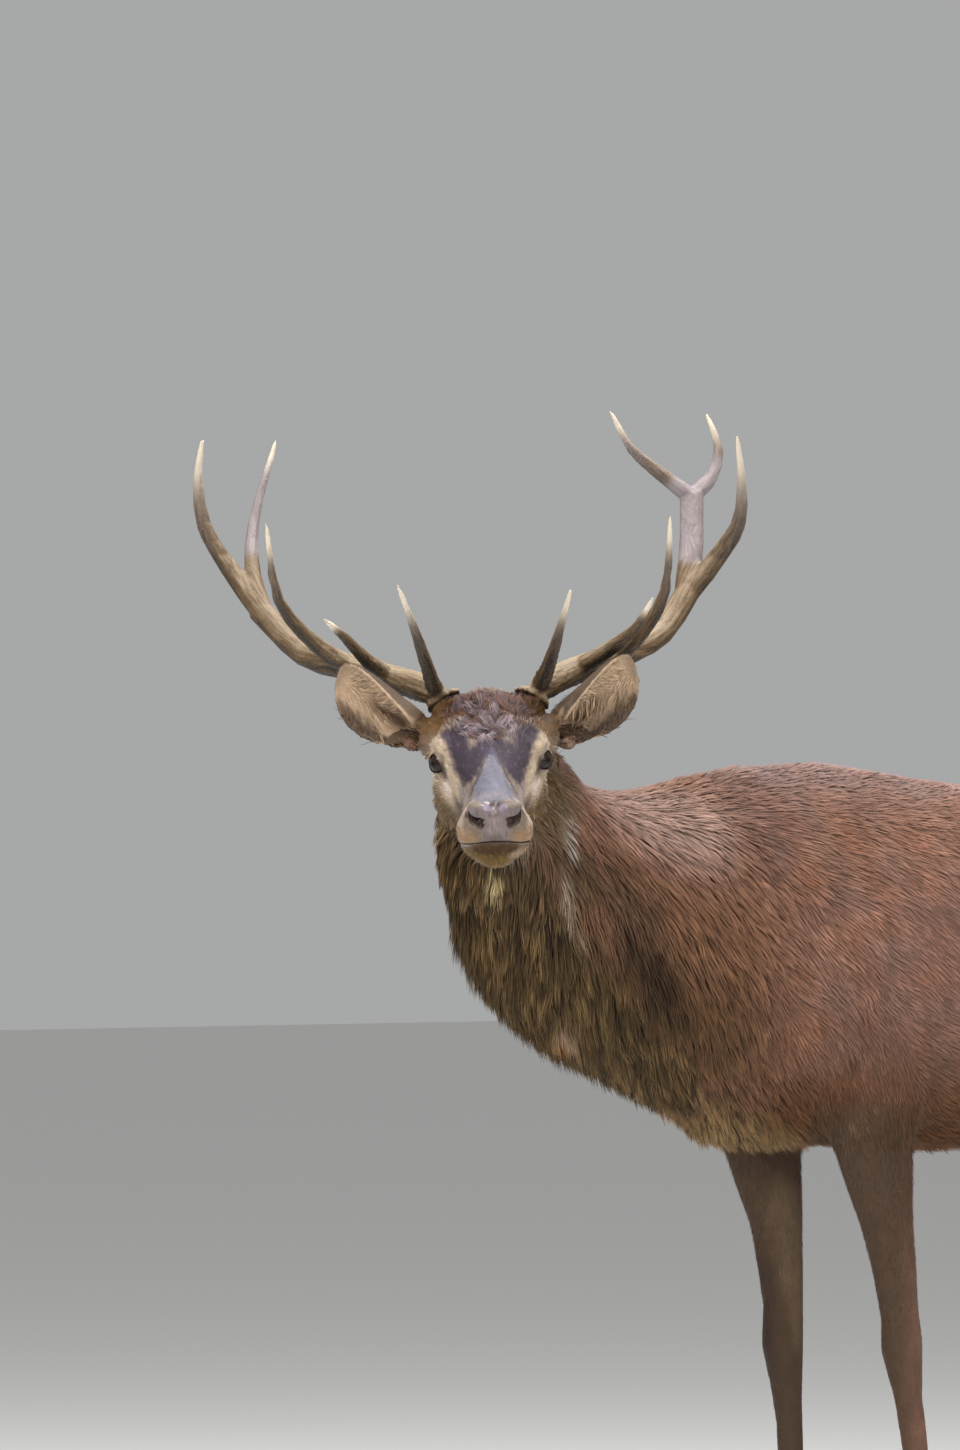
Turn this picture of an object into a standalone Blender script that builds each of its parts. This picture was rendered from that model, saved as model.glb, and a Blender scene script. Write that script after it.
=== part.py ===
"""Red deer stag, life size, standing still and looking back at its left side.

The body faces -Y and its left is +X. The head is turned to the left and dips a little.
Flesh is lofted from slices, fused, smoothed and then parted with thin cuts.
Antlers, ears, eyes, hooves and dewclaws are pieces of their own. Lengths are in metres.
"""

import math
from collections import namedtuple

import bmesh
import bpy
import numpy as np
from mathutils import Matrix, Vector

# Driving sizes
WITHERS = 1.28  # height of the withers above the floor
GAP = 0.0004  # clearance between neighbouring pieces
EYE_RADIUS = 0.0175
EYE_SOCKET_ROOM = 0.0008  # the socket is faceted, so it is a little wider than the eye
EYE_SIDE = 0.0715  # from the middle of the head to an eye's centre
EYES_AT = Vector((0.1145, -0.666, WITHERS - 0.002))  # midway between the eyes
HEAD_TURN = math.radians(53.5)  # to the animal's left
HEAD_DIP = math.radians(20)
HEAD_TILT = math.radians(-2)
EAR_BASE = Vector((0.096, 0.094, 0.012))  # of the left ear, in the head's frame
EAR_TIP = Vector((0.230, 0.156, 0.080))
EAR_HALF_SHEET = 0.071  # half of the ear's breadth, laid flat
EAR_BACK = 0.020  # how far the ear's back lies behind its base
EAR_THICKNESS = 0.005
EAR_CLEARANCE = 0.0012
UNDER_TRUNK = 0.62  # nothing of the trunk hangs below this height
FETLOCK = 0.14
KNEE_CUT = 0.395  # heights at which the legs are parted
HOCK_CUT = 0.500
HOOF_TOP = 0.046
HOOF_SLOPE = math.radians(14)  # the hoof's upper rim falls towards the heel

# Fineness
BODY_VOXEL = 0.0075
HEAD_VOXEL = 0.0042
ANTLER_VOXEL = 0.0026
BODY_TRIANGLES = 2550
HEAD_TRIANGLES = 1950
ANTLER_TRIANGLES = {"left": 900, "right": 760}
SIDES = 28
STEPS = 4

HEAD = (
    Matrix.Translation(EYES_AT)
    @ Matrix.Rotation(HEAD_TURN, 4, "Z")
    @ Matrix.Rotation(HEAD_DIP, 4, "X")
    @ Matrix.Rotation(HEAD_TILT, 4, "Y")
)

# A slice of flesh: its top and lowest points (y, z) in the middle plane, its half width, the
# height of its widest level as a share, how far its middle is shifted in x and turned about z,
# and how square it is above and below (2 is an ellipse).
Slice = namedtuple("Slice", "top low half waist shift turn above below")


def cut(top, low, half, waist=0.5, shift=0.0, turn=0.0, above=2.0, below=2.0):
    return Slice(top, low, half, waist, shift, turn, above, below)


TRUNK = [
    cut((-0.235, 1.06), (-0.215, 0.90), 0.060),
    cut((-0.215, 1.16), (-0.185, 0.80), 0.118, 0.46),
    cut((-0.120, 1.245), (-0.105, 0.725), 0.162, 0.44, above=1.8),
    cut((0.000, 1.277), (0.000, 0.700), 0.180, 0.42, above=1.65, below=2.1),
    cut((0.130, 1.264), (0.140, 0.690), 0.198, 0.42, above=1.75, below=2.2),
    cut((0.320, 1.240), (0.320, 0.692), 0.220, 0.43, above=1.95, below=2.2),
    cut((0.500, 1.232), (0.500, 0.712), 0.226, 0.44, above=2.0, below=2.2),
    cut((0.660, 1.241), (0.650, 0.752), 0.214, 0.46, above=2.0, below=2.1),
    cut((0.800, 1.254), (0.790, 0.800), 0.190, 0.50, above=1.9),
    cut((0.910, 1.240), (0.900, 0.850), 0.164, 0.52, above=1.9),
    cut((1.000, 1.205), (0.985, 0.905), 0.128, 0.52, above=1.9),
    cut((1.055, 1.145), (1.040, 0.985), 0.075, 0.52),
]

NECK = [
    cut((0.040, 1.270), (0.020, 0.705), 0.165, 0.45),
    cut((-0.110, 1.272), (-0.110, 0.704), 0.160, 0.44, above=1.7),
    cut((-0.230, 1.252), (-0.240, 0.757), 0.152, 0.44, 0.002, 0.02, 1.75),
    cut((-0.340, 1.236), (-0.375, 0.815), 0.142, 0.46, 0.005, 0.06, 1.8),
    cut((-0.425, 1.248), (-0.500, 0.868), 0.134, 0.50, 0.012, 0.12, 1.85),
    cut((-0.480, 1.283), (-0.582, 0.945), 0.121, 0.54, 0.018, 0.24, 1.9),
    cut((-0.520, 1.318), (-0.628, 1.040), 0.106, 0.56, 0.029, 0.40),
    cut((-0.555, 1.336), (-0.645, 1.125), 0.088, 0.55, 0.043, 0.60),
]

# The head in its own frame: midway between the eyes, facing -Y, with the brow line level.
FACE = [
    cut((-0.251, 0.006), (-0.243, -0.022), 0.020, 0.52, above=2.4, below=2.2),
    cut((-0.246, 0.019), (-0.234, -0.046), 0.036, 0.50, above=2.4, below=2.2),
    cut((-0.229, 0.028), (-0.219, -0.071), 0.049, 0.43, above=2.2, below=2.3),
    cut((-0.198, 0.031), (-0.194, -0.082), 0.054, 0.38, above=1.9, below=2.3),
    cut((-0.165, 0.032), (-0.165, -0.083), 0.048, 0.42, above=1.8, below=2.1),
    cut((-0.125, 0.036), (-0.125, -0.086), 0.046, 0.46, above=1.9, below=1.9),
    cut((-0.080, 0.042), (-0.080, -0.098), 0.055, 0.52, above=2.2, below=1.8),
    cut((-0.040, 0.050), (-0.040, -0.115), 0.069, 0.58, above=2.5, below=1.7),
    cut((0.005, 0.060), (0.005, -0.130), 0.079, 0.61, above=2.5, below=1.7),
    cut((0.055, 0.068), (0.050, -0.138), 0.085, 0.61, above=2.3, below=1.8),
    cut((0.100, 0.068), (0.090, -0.134), 0.083, 0.58, above=2.1, below=2.0),
    cut((0.140, 0.052), (0.130, -0.120), 0.077, 0.56),
    cut((0.172, 0.026), (0.160, -0.100), 0.060, 0.56),
]

TAIL = [
    cut((0.985, 1.190), (0.975, 1.120), 0.045),
    cut((1.050, 1.160), (1.025, 1.085), 0.042),
    cut((1.092, 1.115), (1.045, 1.065), 0.041),
    cut((1.110, 1.055), (1.062, 1.030), 0.036),
    cut((1.114, 0.995), (1.078, 0.985), 0.027),
    cut((1.108, 0.962), (1.092, 0.957), 0.012),
]

# A leg's rings: side, behind, height, half depth and half breadth of a level ellipse.
FORELEG = [
    (0.128, 0.030, 0.880, 0.100, 0.062),
    (0.122, 0.030, 0.780, 0.090, 0.060),
    (0.114, 0.032, 0.705, 0.073, 0.053),
    (0.109, 0.040, 0.640, 0.059, 0.043),
    (0.106, 0.050, 0.580, 0.048, 0.036),
    (0.105, 0.056, 0.510, 0.039, 0.031),
    (0.105, 0.058, 0.440, 0.034, 0.030),
    (0.105, 0.056, 0.395, 0.036, 0.032),
    (0.104, 0.060, 0.345, 0.028, 0.026),
    (0.103, 0.064, 0.270, 0.0235, 0.0215),
    (0.103, 0.066, 0.190, 0.0235, 0.0215),
    (0.103, 0.070, 0.140, 0.0310, 0.0260),
    (0.103, 0.056, 0.098, 0.0260, 0.0250),
    (0.103, 0.044, 0.062, 0.0310, 0.0330),
    (0.103, 0.040, 0.020, 0.0330, 0.0350),
]
HINDLEG = [
    (0.115, 0.850, 1.020, 0.140, 0.085),
    (0.122, 0.815, 0.900, 0.158, 0.092),
    (0.126, 0.800, 0.800, 0.128, 0.078),
    (0.126, 0.828, 0.710, 0.088, 0.060),
    (0.122, 0.872, 0.635, 0.060, 0.043),
    (0.118, 0.918, 0.570, 0.047, 0.033),
    (0.116, 0.945, 0.520, 0.046, 0.031),
    (0.115, 0.952, 0.465, 0.037, 0.030),
    (0.114, 0.950, 0.390, 0.028, 0.024),
    (0.113, 0.946, 0.280, 0.025, 0.022),
    (0.112, 0.942, 0.190, 0.026, 0.023),
    (0.112, 0.942, 0.142, 0.033, 0.027),
    (0.112, 0.924, 0.100, 0.027, 0.026),
    (0.112, 0.910, 0.062, 0.032, 0.033),
    (0.112, 0.905, 0.020, 0.034, 0.035),
]
# Outlines of the cuts that part the left legs from the trunk, in x and z, and the y they run
# between. The last outline parts the head from the neck, in the head's frame, in y and z.
FORE_OUTLINE = [
    (0.012, -0.1), (0.5, -0.1), (0.5, 0.86), (0.16, 0.765), (0.06, 0.715), (0.012, 0.640)
]
FORE_ENDS = (-0.075, 0.175)
HIND_OUTLINE = [
    (0.012, -0.1), (0.5, -0.1), (0.5, 0.98), (0.17, 0.860), (0.03, 0.790), (0.012, 0.740)
]
HIND_ENDS = (0.655, 1.200)
HEAD_OUTLINE = [(-0.45, -0.143), (0.048, -0.143), (0.176, 0.060), (0.25, 0.40), (-0.45, 0.40)]
# How far each foot stands behind its plain place
STANCE = {
    ("fore", "left"): 0.078,
    ("fore", "right"): 0.020,
    ("hind", "left"): 0.050,
    ("hind", "right"): -0.070,
}
SHOULDER_SHIFT = {"left": 0.016, "right": -0.008}

# Antlers in the head's frame, in centimetres: out, behind, up. Each tine is a run of points with
# its radius at the root and near the tip, how far along it is parted, and how deep it is for its
# breadth. Roots lie inside what they grow from.
LEFT_ANTLER = {
    "beam": ([(5.7, 10.2, 4.7), (8.4, 13.3, 6.6), (13.0, 18.6, 6.8), (19.6, 26.0, 6.2),
              (26.2, 34.2, 6.6), (31.0, 41.6, 10.9)], 2.15, 1.75, 0, 1),
    "outer_tine": ([(30.2, 40.4, 9.9), (35.0, 42.9, 14.9), (38.3, 42.2, 20.4),
                    (38.9, 41.4, 27.0), (38.3, 40.4, 35.0)], 1.65, 0.30, 5.6, 0.9),
    "crown_stem": ([(30.2, 40.4, 9.9), (31.3, 45.6, 15.4), (31.7, 50.2, 22.4)],
                   1.80, 1.75, 5.6, 0.70),
    "crown_inner_tine": ([(31.7, 50.0, 22.0), (27.4, 49.8, 25.7), (23.0, 48.8, 30.2),
                          (20.0, 48.6, 36.3)], 1.30, 0.30, 3.4, 0.9),
    "crown_outer_tine": ([(31.7, 50.0, 22.0), (34.9, 52.3, 24.5), (35.9, 54.2, 28.4),
                          (34.4, 55.5, 32.7)], 1.25, 0.30, 3.4, 0.9),
    "trez_tine": ([(18.6, 25.0, 6.2), (22.9, 23.4, 10.5), (26.7, 21.0, 18.0),
                   (27.7, 21.4, 29.3)], 1.50, 0.30, 4.4, 1),
    "bez_tine": ([(12.9, 18.8, 6.8), (18.2, 16.6, 10.8), (21.9, 14.5, 14.6),
                  (24.5, 13.6, 19.3)], 1.40, 0.30, 4.4, 1),
    "brow_tine": ([(7.6, 12.6, 6.9), (8.6, 8.4, 10.6), (10.4, 3.4, 18.0),
                   (12.3, -0.7, 26.4)], 1.40, 0.30, 4.6, 1),
}
RIGHT_ANTLER = {
    "beam": ([(-5.7, 10.2, 4.7), (-8.4, 13.3, 6.4), (-12.8, 18.9, 6.0), (-19.2, 26.7, 5.3),
              (-26.6, 33.8, 5.2), (-33.2, 41.6, 9.7)], 2.15, 1.75, 0, 1),
    "outer_tine": ([(-32.4, 40.6, 9.1), (-37.1, 45.9, 14.4), (-40.7, 47.8, 20.6),
                    (-41.5, 48.4, 27.6), (-40.7, 47.6, 34.0)], 1.60, 0.35, 10.0, 0.9),
    "crown_tine": ([(-32.4, 40.6, 9.1), (-33.8, 45.4, 13.6), (-33.4, 51.6, 19.9),
                    (-29.8, 56.8, 30.4)], 1.55, 0.35, 10.0, 0.9),
    "trez_tine": ([(-19.4, 26.9, 5.5), (-24.4, 26.5, 8.9), (-30.2, 23.4, 17.6),
                   (-31.7, 23.5, 29.6)], 1.55, 0.30, 4.6, 1),
    "bez_tine": ([(-13.6, 19.9, 6.0), (-17.6, 18.2, 9.7), (-21.0, 15.6, 14.7),
                  (-23.8, 13.8, 17.9)], 1.35, 0.25, 4.4, 1),
    "brow_tine": ([(-7.6, 12.6, 6.8), (-8.2, 8.4, 9.8), (-10.2, 2.9, 18.8),
                   (-12.9, 0.3, 27.9)], 1.40, 0.30, 4.6, 1),
}
BURR_RADIUS = 0.032
PEDICLE_RADIUS = 0.026

COLOURS = {
    "coat": ((0.250, 0.105, 0.048), 0.85),
    "mane": ((0.120, 0.066, 0.038), 0.90),
    "face": ((0.230, 0.140, 0.078), 0.85),
    "legs": ((0.150, 0.085, 0.048), 0.85),
    "ear": ((0.330, 0.220, 0.140), 0.85),
    "eye": ((0.012, 0.007, 0.005), 0.08),
    "antler": ((0.170, 0.105, 0.060), 0.55),
    "hoof": ((0.030, 0.024, 0.020), 0.45),
}


def material(name):
    """The Principled material of one of the finishes above."""
    found = bpy.data.materials.get(name)
    if found:
        return found
    colour, roughness = COLOURS[name]
    made = bpy.data.materials.new(name)
    made.use_nodes = True
    shader = made.node_tree.nodes["Principled BSDF"]
    shader.inputs["Base Color"].default_value = (*colour, 1)
    shader.inputs["Roughness"].default_value = roughness
    shader.inputs["Metallic"].default_value = 0.0
    made.diffuse_color = (*colour, 1)
    return made


def through(points, steps=STEPS):
    """Rows on a smooth curve through the given rows of numbers (Catmull-Rom)."""
    rows = np.array(points, float)
    held = np.vstack([2 * rows[0] - rows[1], rows, 2 * rows[-1] - rows[-2]])
    made = []
    for i in range(len(rows) - 1):
        a, b, c, d = held[i : i + 4]
        for t in np.arange(steps) / steps:
            made.append(
                0.5 * (2 * b + (c - a) * t + (2 * a - 5 * b + 4 * c - d) * t**2
                       + (3 * b - a - 3 * c + d) * t**3)
            )
    return np.array(made + [rows[-1]])


def skin_rings(rings, shape):
    """Adds a closed body to the bmesh from rings of points with the same number of points."""
    sides = len(rings[0])
    loops = [[shape.verts.new(p) for p in ring] for ring in rings]
    for low, high in zip(loops, loops[1:]):
        for k in range(sides):
            shape.faces.new((low[k], low[(k + 1) % sides], high[(k + 1) % sides], high[k]))
    shape.faces.new(loops[0][::-1])
    shape.faces.new(loops[-1])


def bent(value, squareness):
    return math.copysign(abs(value) ** (2 / squareness), value)


def slice_ring(row, sides=SIDES):
    """The points round one slice, given as a flat row of its numbers."""
    top_y, top_z, low_y, low_z, half, waist, shift, turn, above, below = row
    top, low = Vector((0, top_y, top_z)), Vector((0, low_y, low_z))
    middle = low.lerp(top, waist)
    ring = []
    for k in range(sides):
        angle = 2 * math.pi * k / sides
        rise = math.sin(angle)
        square, end = (above, top) if rise > 0 else (below, low)
        side = half * bent(math.cos(angle), square)
        point = middle.lerp(end, abs(bent(rise, square)))
        turned = Vector((side * math.cos(turn), side * math.sin(turn), 0))
        ring.append(point + turned + Vector((shift, 0, 0)))
    return ring


def loft(shape, slices, frame=None):
    """Adds the body that runs through the slices, in the given frame."""
    rows = [(*s.top, *s.low, s.half, s.waist, s.shift, s.turn, s.above, s.below) for s in slices]
    rings = [slice_ring(row) for row in through(rows)]
    if frame:
        rings = [[frame @ p for p in ring] for ring in rings]
    skin_rings(rings, shape)


def mass(shape, centre, radii, tilt=(0, 0, 0), frame=None):
    """Adds a rounded mass of muscle or bone: an ellipsoid, tilted in degrees about x, y and z."""
    turned = Matrix.Identity(4)
    for axis, degrees in zip("XYZ", tilt):
        turned = Matrix.Rotation(math.radians(degrees), 4, axis) @ turned
    place = Matrix.Translation(centre) @ turned @ Matrix.Diagonal((*radii, 1))
    if frame:
        place = frame @ place
    bmesh.ops.create_uvsphere(shape, u_segments=20, v_segments=12, radius=1, matrix=place)


def leg(shape, rings, kind, side):
    """Adds one leg. Its foot is shifted by the stance, and the shift fades towards the top."""
    sign = 1 if side == "left" else -1
    top = rings[1][2]
    made = []
    for x, y, z, depth, breadth in through(rings, 3):
        y += STANCE[kind, side] * min(1.0, max(0.0, top - z) / (top - FETLOCK))
        if kind == "fore":
            y += SHOULDER_SHIFT[side]
        made.append([
            Vector((sign * x + breadth * math.cos(a), y + depth * math.sin(a), z))
            for a in np.arange(16) * math.tau / 16
        ])
    skin_rings(made, shape)


def tube_rings(points, radii, sides):
    """Rings round a smooth path, square to it, with no twist between them."""
    points = [Vector(p) for p in points]
    side = None
    rings = []
    for i, (point, radius) in enumerate(zip(points, radii)):
        ahead = (points[min(i + 1, len(points) - 1)] - points[max(i - 1, 0)]).normalized()
        side = ahead.orthogonal() if side is None else side
        side = (side - ahead * side.dot(ahead)).normalized()
        other = ahead.cross(side)
        rings.append([
            point + (side * math.cos(a) + other * math.sin(a)) * radius
            for a in np.arange(sides) * math.tau / sides
        ])
    return rings


def mesh_object(name, shape, finish=None, smooth=True):
    """Turns the bmesh into an object, with its faces pointing out."""
    bmesh.ops.recalc_face_normals(shape, faces=shape.faces)
    mesh = bpy.data.meshes.new(name)
    shape.to_mesh(mesh)
    shape.free()
    made = bpy.data.objects.new(name, mesh)
    bpy.context.scene.collection.objects.link(made)
    if smooth:
        mesh.shade_smooth()
    if finish:
        mesh.materials.append(material(finish))
    return made


def settled(made):
    """Replaces an object's mesh by what its modifiers make of it."""
    bpy.context.view_layer.update()
    mesh = bpy.data.meshes.new_from_object(
        made.evaluated_get(bpy.context.evaluated_depsgraph_get())
    )
    made.modifiers.clear()
    made.data = mesh
    return made


def helper(made):
    made.hide_render = True
    made.display_type = "WIRE"
    return made


def fused(name, shape, voxel, rounds, triangles):
    """Fuses the overlapping bodies of the bmesh into one, softens its creases and thins it out."""
    made = helper(mesh_object(name, shape))
    remesh = made.modifiers.new("fuse", "REMESH")
    remesh.mode = "VOXEL"
    remesh.voxel_size = voxel
    soften = made.modifiers.new("soften", "SMOOTH")
    soften.factor = 0.5
    soften.iterations = rounds
    settled(made)
    thin = made.modifiers.new("thin", "DECIMATE")
    made.data.calc_loop_triangles()
    thin.ratio = triangles / len(made.data.loop_triangles)
    thin.use_collapse_triangulate = True
    return settled(made)


def boolean(made, operation, *others):
    for other in others:
        step = made.modifiers.new(operation.lower(), "BOOLEAN")
        step.operation = operation
        step.solver = "EXACT"
        step.object = other
    return made


def block(name, low, high, frame=None, grown=0.0):
    """A cutting block between two corners, in a frame, optionally a little larger all round."""
    shape = bmesh.new()
    low, high = Vector(low) - Vector([grown] * 3), Vector(high) + Vector([grown] * 3)
    place = (
        (frame or Matrix.Identity(4))
        @ Matrix.Translation((low + high) / 2)
        @ Matrix.Diagonal((*(high - low), 1))
    )
    bmesh.ops.create_cube(shape, size=1, matrix=place)
    return helper(mesh_object(name, shape, smooth=False))


def profile_block(name, outline, ends, frame=None, grown=0.0):
    """A cutting block: an outline in x and z, anticlockwise, run from one y to another."""
    points = [Vector(p) for p in outline]
    shape = bmesh.new()
    corners = []
    for i, corner in enumerate(points):
        before, after = corner - points[i - 1], points[(i + 1) % len(points)] - corner
        out = [Vector((edge.y, -edge.x)).normalized() for edge in (before, after)]
        corners.append(corner + (out[0] + out[1]) * grown / (1 + out[0].dot(out[1])))
    frame = frame or Matrix.Identity(4)
    rings = [
        [frame @ Vector((x, y, z)) for x, z in corners]
        for y in (ends[0] - grown, ends[1] + grown)
    ]
    skin_rings(rings, shape)
    return helper(mesh_object(name, shape, smooth=False))


def nostril(sign):
    """A cutter for one nostril: an oval hollow that slants in and back."""
    shape = bmesh.new()
    place = (
        HEAD
        @ Matrix.Translation((sign * 0.0262, -0.2475, -0.003))
        @ Matrix.Rotation(math.radians(sign * 28), 4, "Z")
        @ Matrix.Rotation(math.radians(sign * 20), 4, "Y")
        @ Matrix.Diagonal((0.0085, 0.0170, 0.0105, 1))
    )
    bmesh.ops.create_uvsphere(shape, u_segments=8, v_segments=6, radius=1, matrix=place)
    return helper(mesh_object(f"nostril_{sign}", shape))


def cutting_disc(name, centre, towards, radius, length):
    """A short cylinder that starts at a point and runs along a direction."""
    shape = bmesh.new()
    turned = Vector(towards).to_track_quat("Z", "Y").to_matrix().to_4x4()
    place = Matrix.Translation(centre) @ turned @ Matrix.Translation((0, 0, length / 2))
    bmesh.ops.create_cone(
        shape, cap_ends=True, segments=24, radius1=radius, radius2=radius, depth=length,
        matrix=place,
    )
    return helper(mesh_object(name, shape, smooth=False))


def copy_of(source, name, finish):
    """A new object with a copy of the source's mesh."""
    made = bpy.data.objects.new(name, source.data.copy())
    bpy.context.scene.collection.objects.link(made)
    made.data.materials.clear()
    made.data.materials.append(material(finish))
    made.data.shade_smooth()
    return made


def burr_place(sign):
    """Centre and direction of the antler's base, in the head's frame."""
    return Vector((sign * 0.063, 0.109, 0.054)), Vector((sign * 0.50, 0.62, 0.60)).normalized()


def ear_frame(sign):
    """The ear's frame: Z runs from its base to its tip and -Y is where it opens."""
    mirror = Vector((sign, 1, 1))
    base = EAR_BASE * mirror
    along = (EAR_TIP * mirror - base).normalized()
    opens = Vector((sign * 0.05, -1.0, -0.30))
    opens = (opens - along * opens.dot(along)).normalized()
    across = (-opens).cross(along)
    turned = Matrix((across, -opens, along)).transposed().to_4x4()
    return HEAD @ Matrix.Translation(base) @ turned


def add_neck_and_throat(shape):
    loft(shape, NECK)
    # The throat under the jaw and the muscles behind the ears
    mass(shape, (0.035, -0.560, 1.150), (0.088, 0.080, 0.080))
    mass(shape, (0.0, 0.135, -0.030), (0.078, 0.070, 0.090), frame=HEAD)


def add_head(shape):
    """Adds the skull, muzzle, cheeks, brows, ear roots and pedicles."""
    loft(shape, FACE, HEAD)
    for sign in (1, -1):
        # Cheek, the brow above the eye and the socket's rear edge
        mass(shape, (sign * 0.050, 0.052, -0.066), (0.036, 0.062, 0.058), (-14, 0, 0), HEAD)
        mass(shape, (sign * 0.064, 0.004, 0.026), (0.022, 0.030, 0.017), (8, sign * 14, 0), HEAD)
        mass(shape, (sign * 0.070, 0.036, 0.002), (0.019, 0.026, 0.026), frame=HEAD)
        # Upper lip, the nostril's wing and the ear's root
        mass(shape, (sign * 0.031, -0.205, -0.030), (0.026, 0.032, 0.030), frame=HEAD)
        mass(shape, (sign * 0.024, -0.234, 0.012), (0.016, 0.018, 0.015), frame=HEAD)
        root = ear_frame(sign) @ Vector((0, 0, -0.022))
        mass(shape, HEAD.inverted() @ root, (0.034, 0.038, 0.034), frame=HEAD)
        centre, towards = burr_place(sign)
        start, end = centre - towards * 0.045, centre + towards * 0.012
        rings = tube_rings([start, (start + end) / 2, end], [PEDICLE_RADIUS] * 3, 16)
        skin_rings([[HEAD @ p for p in ring] for ring in rings], shape)
    # Chin and the tuft between the antlers
    mass(shape, (0, -0.200, -0.068), (0.032, 0.030, 0.020), frame=HEAD)
    mass(shape, (0, 0.072, 0.050), (0.058, 0.052, 0.028), frame=HEAD)


def add_body(shape):
    """Adds the trunk with its muscles, the legs and the tail."""
    loft(shape, TRUNK)
    loft(shape, TAIL)
    for side, sign in (("left", 1), ("right", -1)):
        shift = SHOULDER_SHIFT[side]
        # Shoulder blade, upper arm, elbow, point of the hip, rump and thigh
        mass(shape, (sign * 0.118, -0.005 + shift, 1.030), (0.058, 0.105, 0.165), (-22, -sign * 20, 0))
        mass(shape, (sign * 0.130, -0.070 + shift, 0.880), (0.060, 0.100, 0.090), (-30, 0, 0))
        mass(shape, (sign * 0.135, 0.045 + shift, 0.850), (0.055, 0.090, 0.115), (15, 0, 0))
        mass(shape, (sign * 0.084, 0.800, 1.135), (0.078, 0.150, 0.080), (-6, sign * 24, 0))
        mass(shape, (sign * 0.088, 0.945, 1.055), (0.075, 0.100, 0.135), (18, 0, 0))
        mass(shape, (sign * 0.130, 0.830, 0.950), (0.084, 0.150, 0.160), (-18, 0, 0))
        # The heel's bone above the hock
        heel = 0.985 + STANCE["hind", side] * 0.38
        mass(shape, (sign * 0.116, heel, 0.545), (0.021, 0.020, 0.042), (12, 0, 0))
        leg(shape, FORELEG, "fore", side)
        leg(shape, HINDLEG, "hind", side)
    # Breast, sheath and scrotum
    mass(shape, (0, -0.100, 0.790), (0.085, 0.120, 0.075), (25, 0, 0))
    mass(shape, (0, 0.640, 0.718), (0.030, 0.085, 0.030), (10, 0, 0))
    mass(shape, (0, 0.860, 0.800), (0.042, 0.042, 0.055))


def make_eye(sign, name):
    shape = bmesh.new()
    place = HEAD @ Matrix.Translation((sign * EYE_SIDE, 0, 0)) @ Matrix.Rotation(math.pi / 2, 4, "X")
    bmesh.ops.create_uvsphere(
        shape, u_segments=12, v_segments=8, radius=EYE_RADIUS, matrix=place
    )
    return mesh_object(name, shape, "eye")


def socket(sign):
    shape = bmesh.new()
    place = HEAD @ Matrix.Translation((sign * EYE_SIDE, 0, 0)) @ Matrix.Rotation(math.pi / 2, 4, "X")
    bmesh.ops.create_uvsphere(
        shape, u_segments=12, v_segments=8, radius=EYE_RADIUS + EYE_SOCKET_ROOM, matrix=place
    )
    return helper(mesh_object(f"socket_{sign}", shape))


def ear_row(t):
    """Half of the ear's breadth, laid flat, and half of the angle it is rolled through, a share of
    the way from its base to its tip."""
    half = EAR_HALF_SHEET * (0.80 + 0.55 * t) * (1 - t**2.6) ** 0.62 + 0.003
    return half, math.radians(155 - 98 * t**0.5)


def ear_room(sign):
    """A cutter that clears the head's flesh round the root of an ear."""
    frame = ear_frame(sign)
    rings = []
    for t in (0.0, 0.08, 0.16, 0.26, 0.38):
        half, rolled = ear_row(t)
        radius = half / rolled + EAR_THICKNESS / 2 + EAR_CLEARANCE
        height = (EAR_TIP - EAR_BASE).length * t - EAR_CLEARANCE
        middle = EAR_BACK - half / rolled
        rings.append([
            frame @ Vector((radius * math.cos(a), middle + radius * math.sin(a), height))
            for a in np.arange(20) * math.tau / 20
        ])
    shape = bmesh.new()
    skin_rings(rings, shape)
    return helper(mesh_object(f"ear_room_{sign}", shape))


def make_ear(sign, name):
    """A leaf-shaped cup: a sheet rolled to a tube at its base that opens towards its tip."""
    shape = bmesh.new()
    rows, columns = 9, 8
    frame = ear_frame(sign)
    grid = []
    for i in range(rows):
        t = 1 - (1 - i / (rows - 1)) ** 1.5  # rows crowd towards the tip
        half, rolled = ear_row(t)
        radius = half / rolled
        row = []
        for j in range(columns):
            angle = rolled * (2 * j / (columns - 1) - 1)
            point = (
                radius * math.sin(angle),
                EAR_BACK - radius * (1 - math.cos(angle)) + 0.010 * t**2,
                (EAR_TIP - EAR_BASE).length * t,
            )
            row.append(shape.verts.new(frame @ Vector(point)))
        grid.append(row)
    for low, high in zip(grid, grid[1:]):
        for j in range(columns - 1):
            shape.faces.new((low[j], low[j + 1], high[j + 1], high[j]))
    made = mesh_object(name, shape, "ear")
    wall = made.modifiers.new("wall", "SOLIDIFY")
    wall.thickness = EAR_THICKNESS
    wall.offset = 0.0
    wall.use_even_offset = False
    return made


def tine_path(entry):
    """The centre line of a beam or tine in the head's frame, and its radii, in metres."""
    points, root, tip = entry[:3]
    path = through(points, 3) / 100
    share = np.linspace(0, 1, len(path))
    radii = (root + (tip - root) * share**1.25) / 100
    return [Vector(p) for p in path], radii


def tine_rings(entry):
    path, radii = tine_path(entry)
    if radii[-1] < 0.005:  # a pointed tine gets a rounded end
        path.append(path[-1] + (path[-1] - path[-2]).normalized() * radii[-1] * 0.7)
        radii = np.append(radii, radii[-1] * 0.5)
    depth = entry[4]
    rings = tube_rings(path, radii, 12)
    for centre, ring in zip(path, rings):
        for p in ring:
            p.y = centre.y + (p.y - centre.y) * depth
    return [[HEAD @ p for p in ring] for ring in rings]


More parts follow.
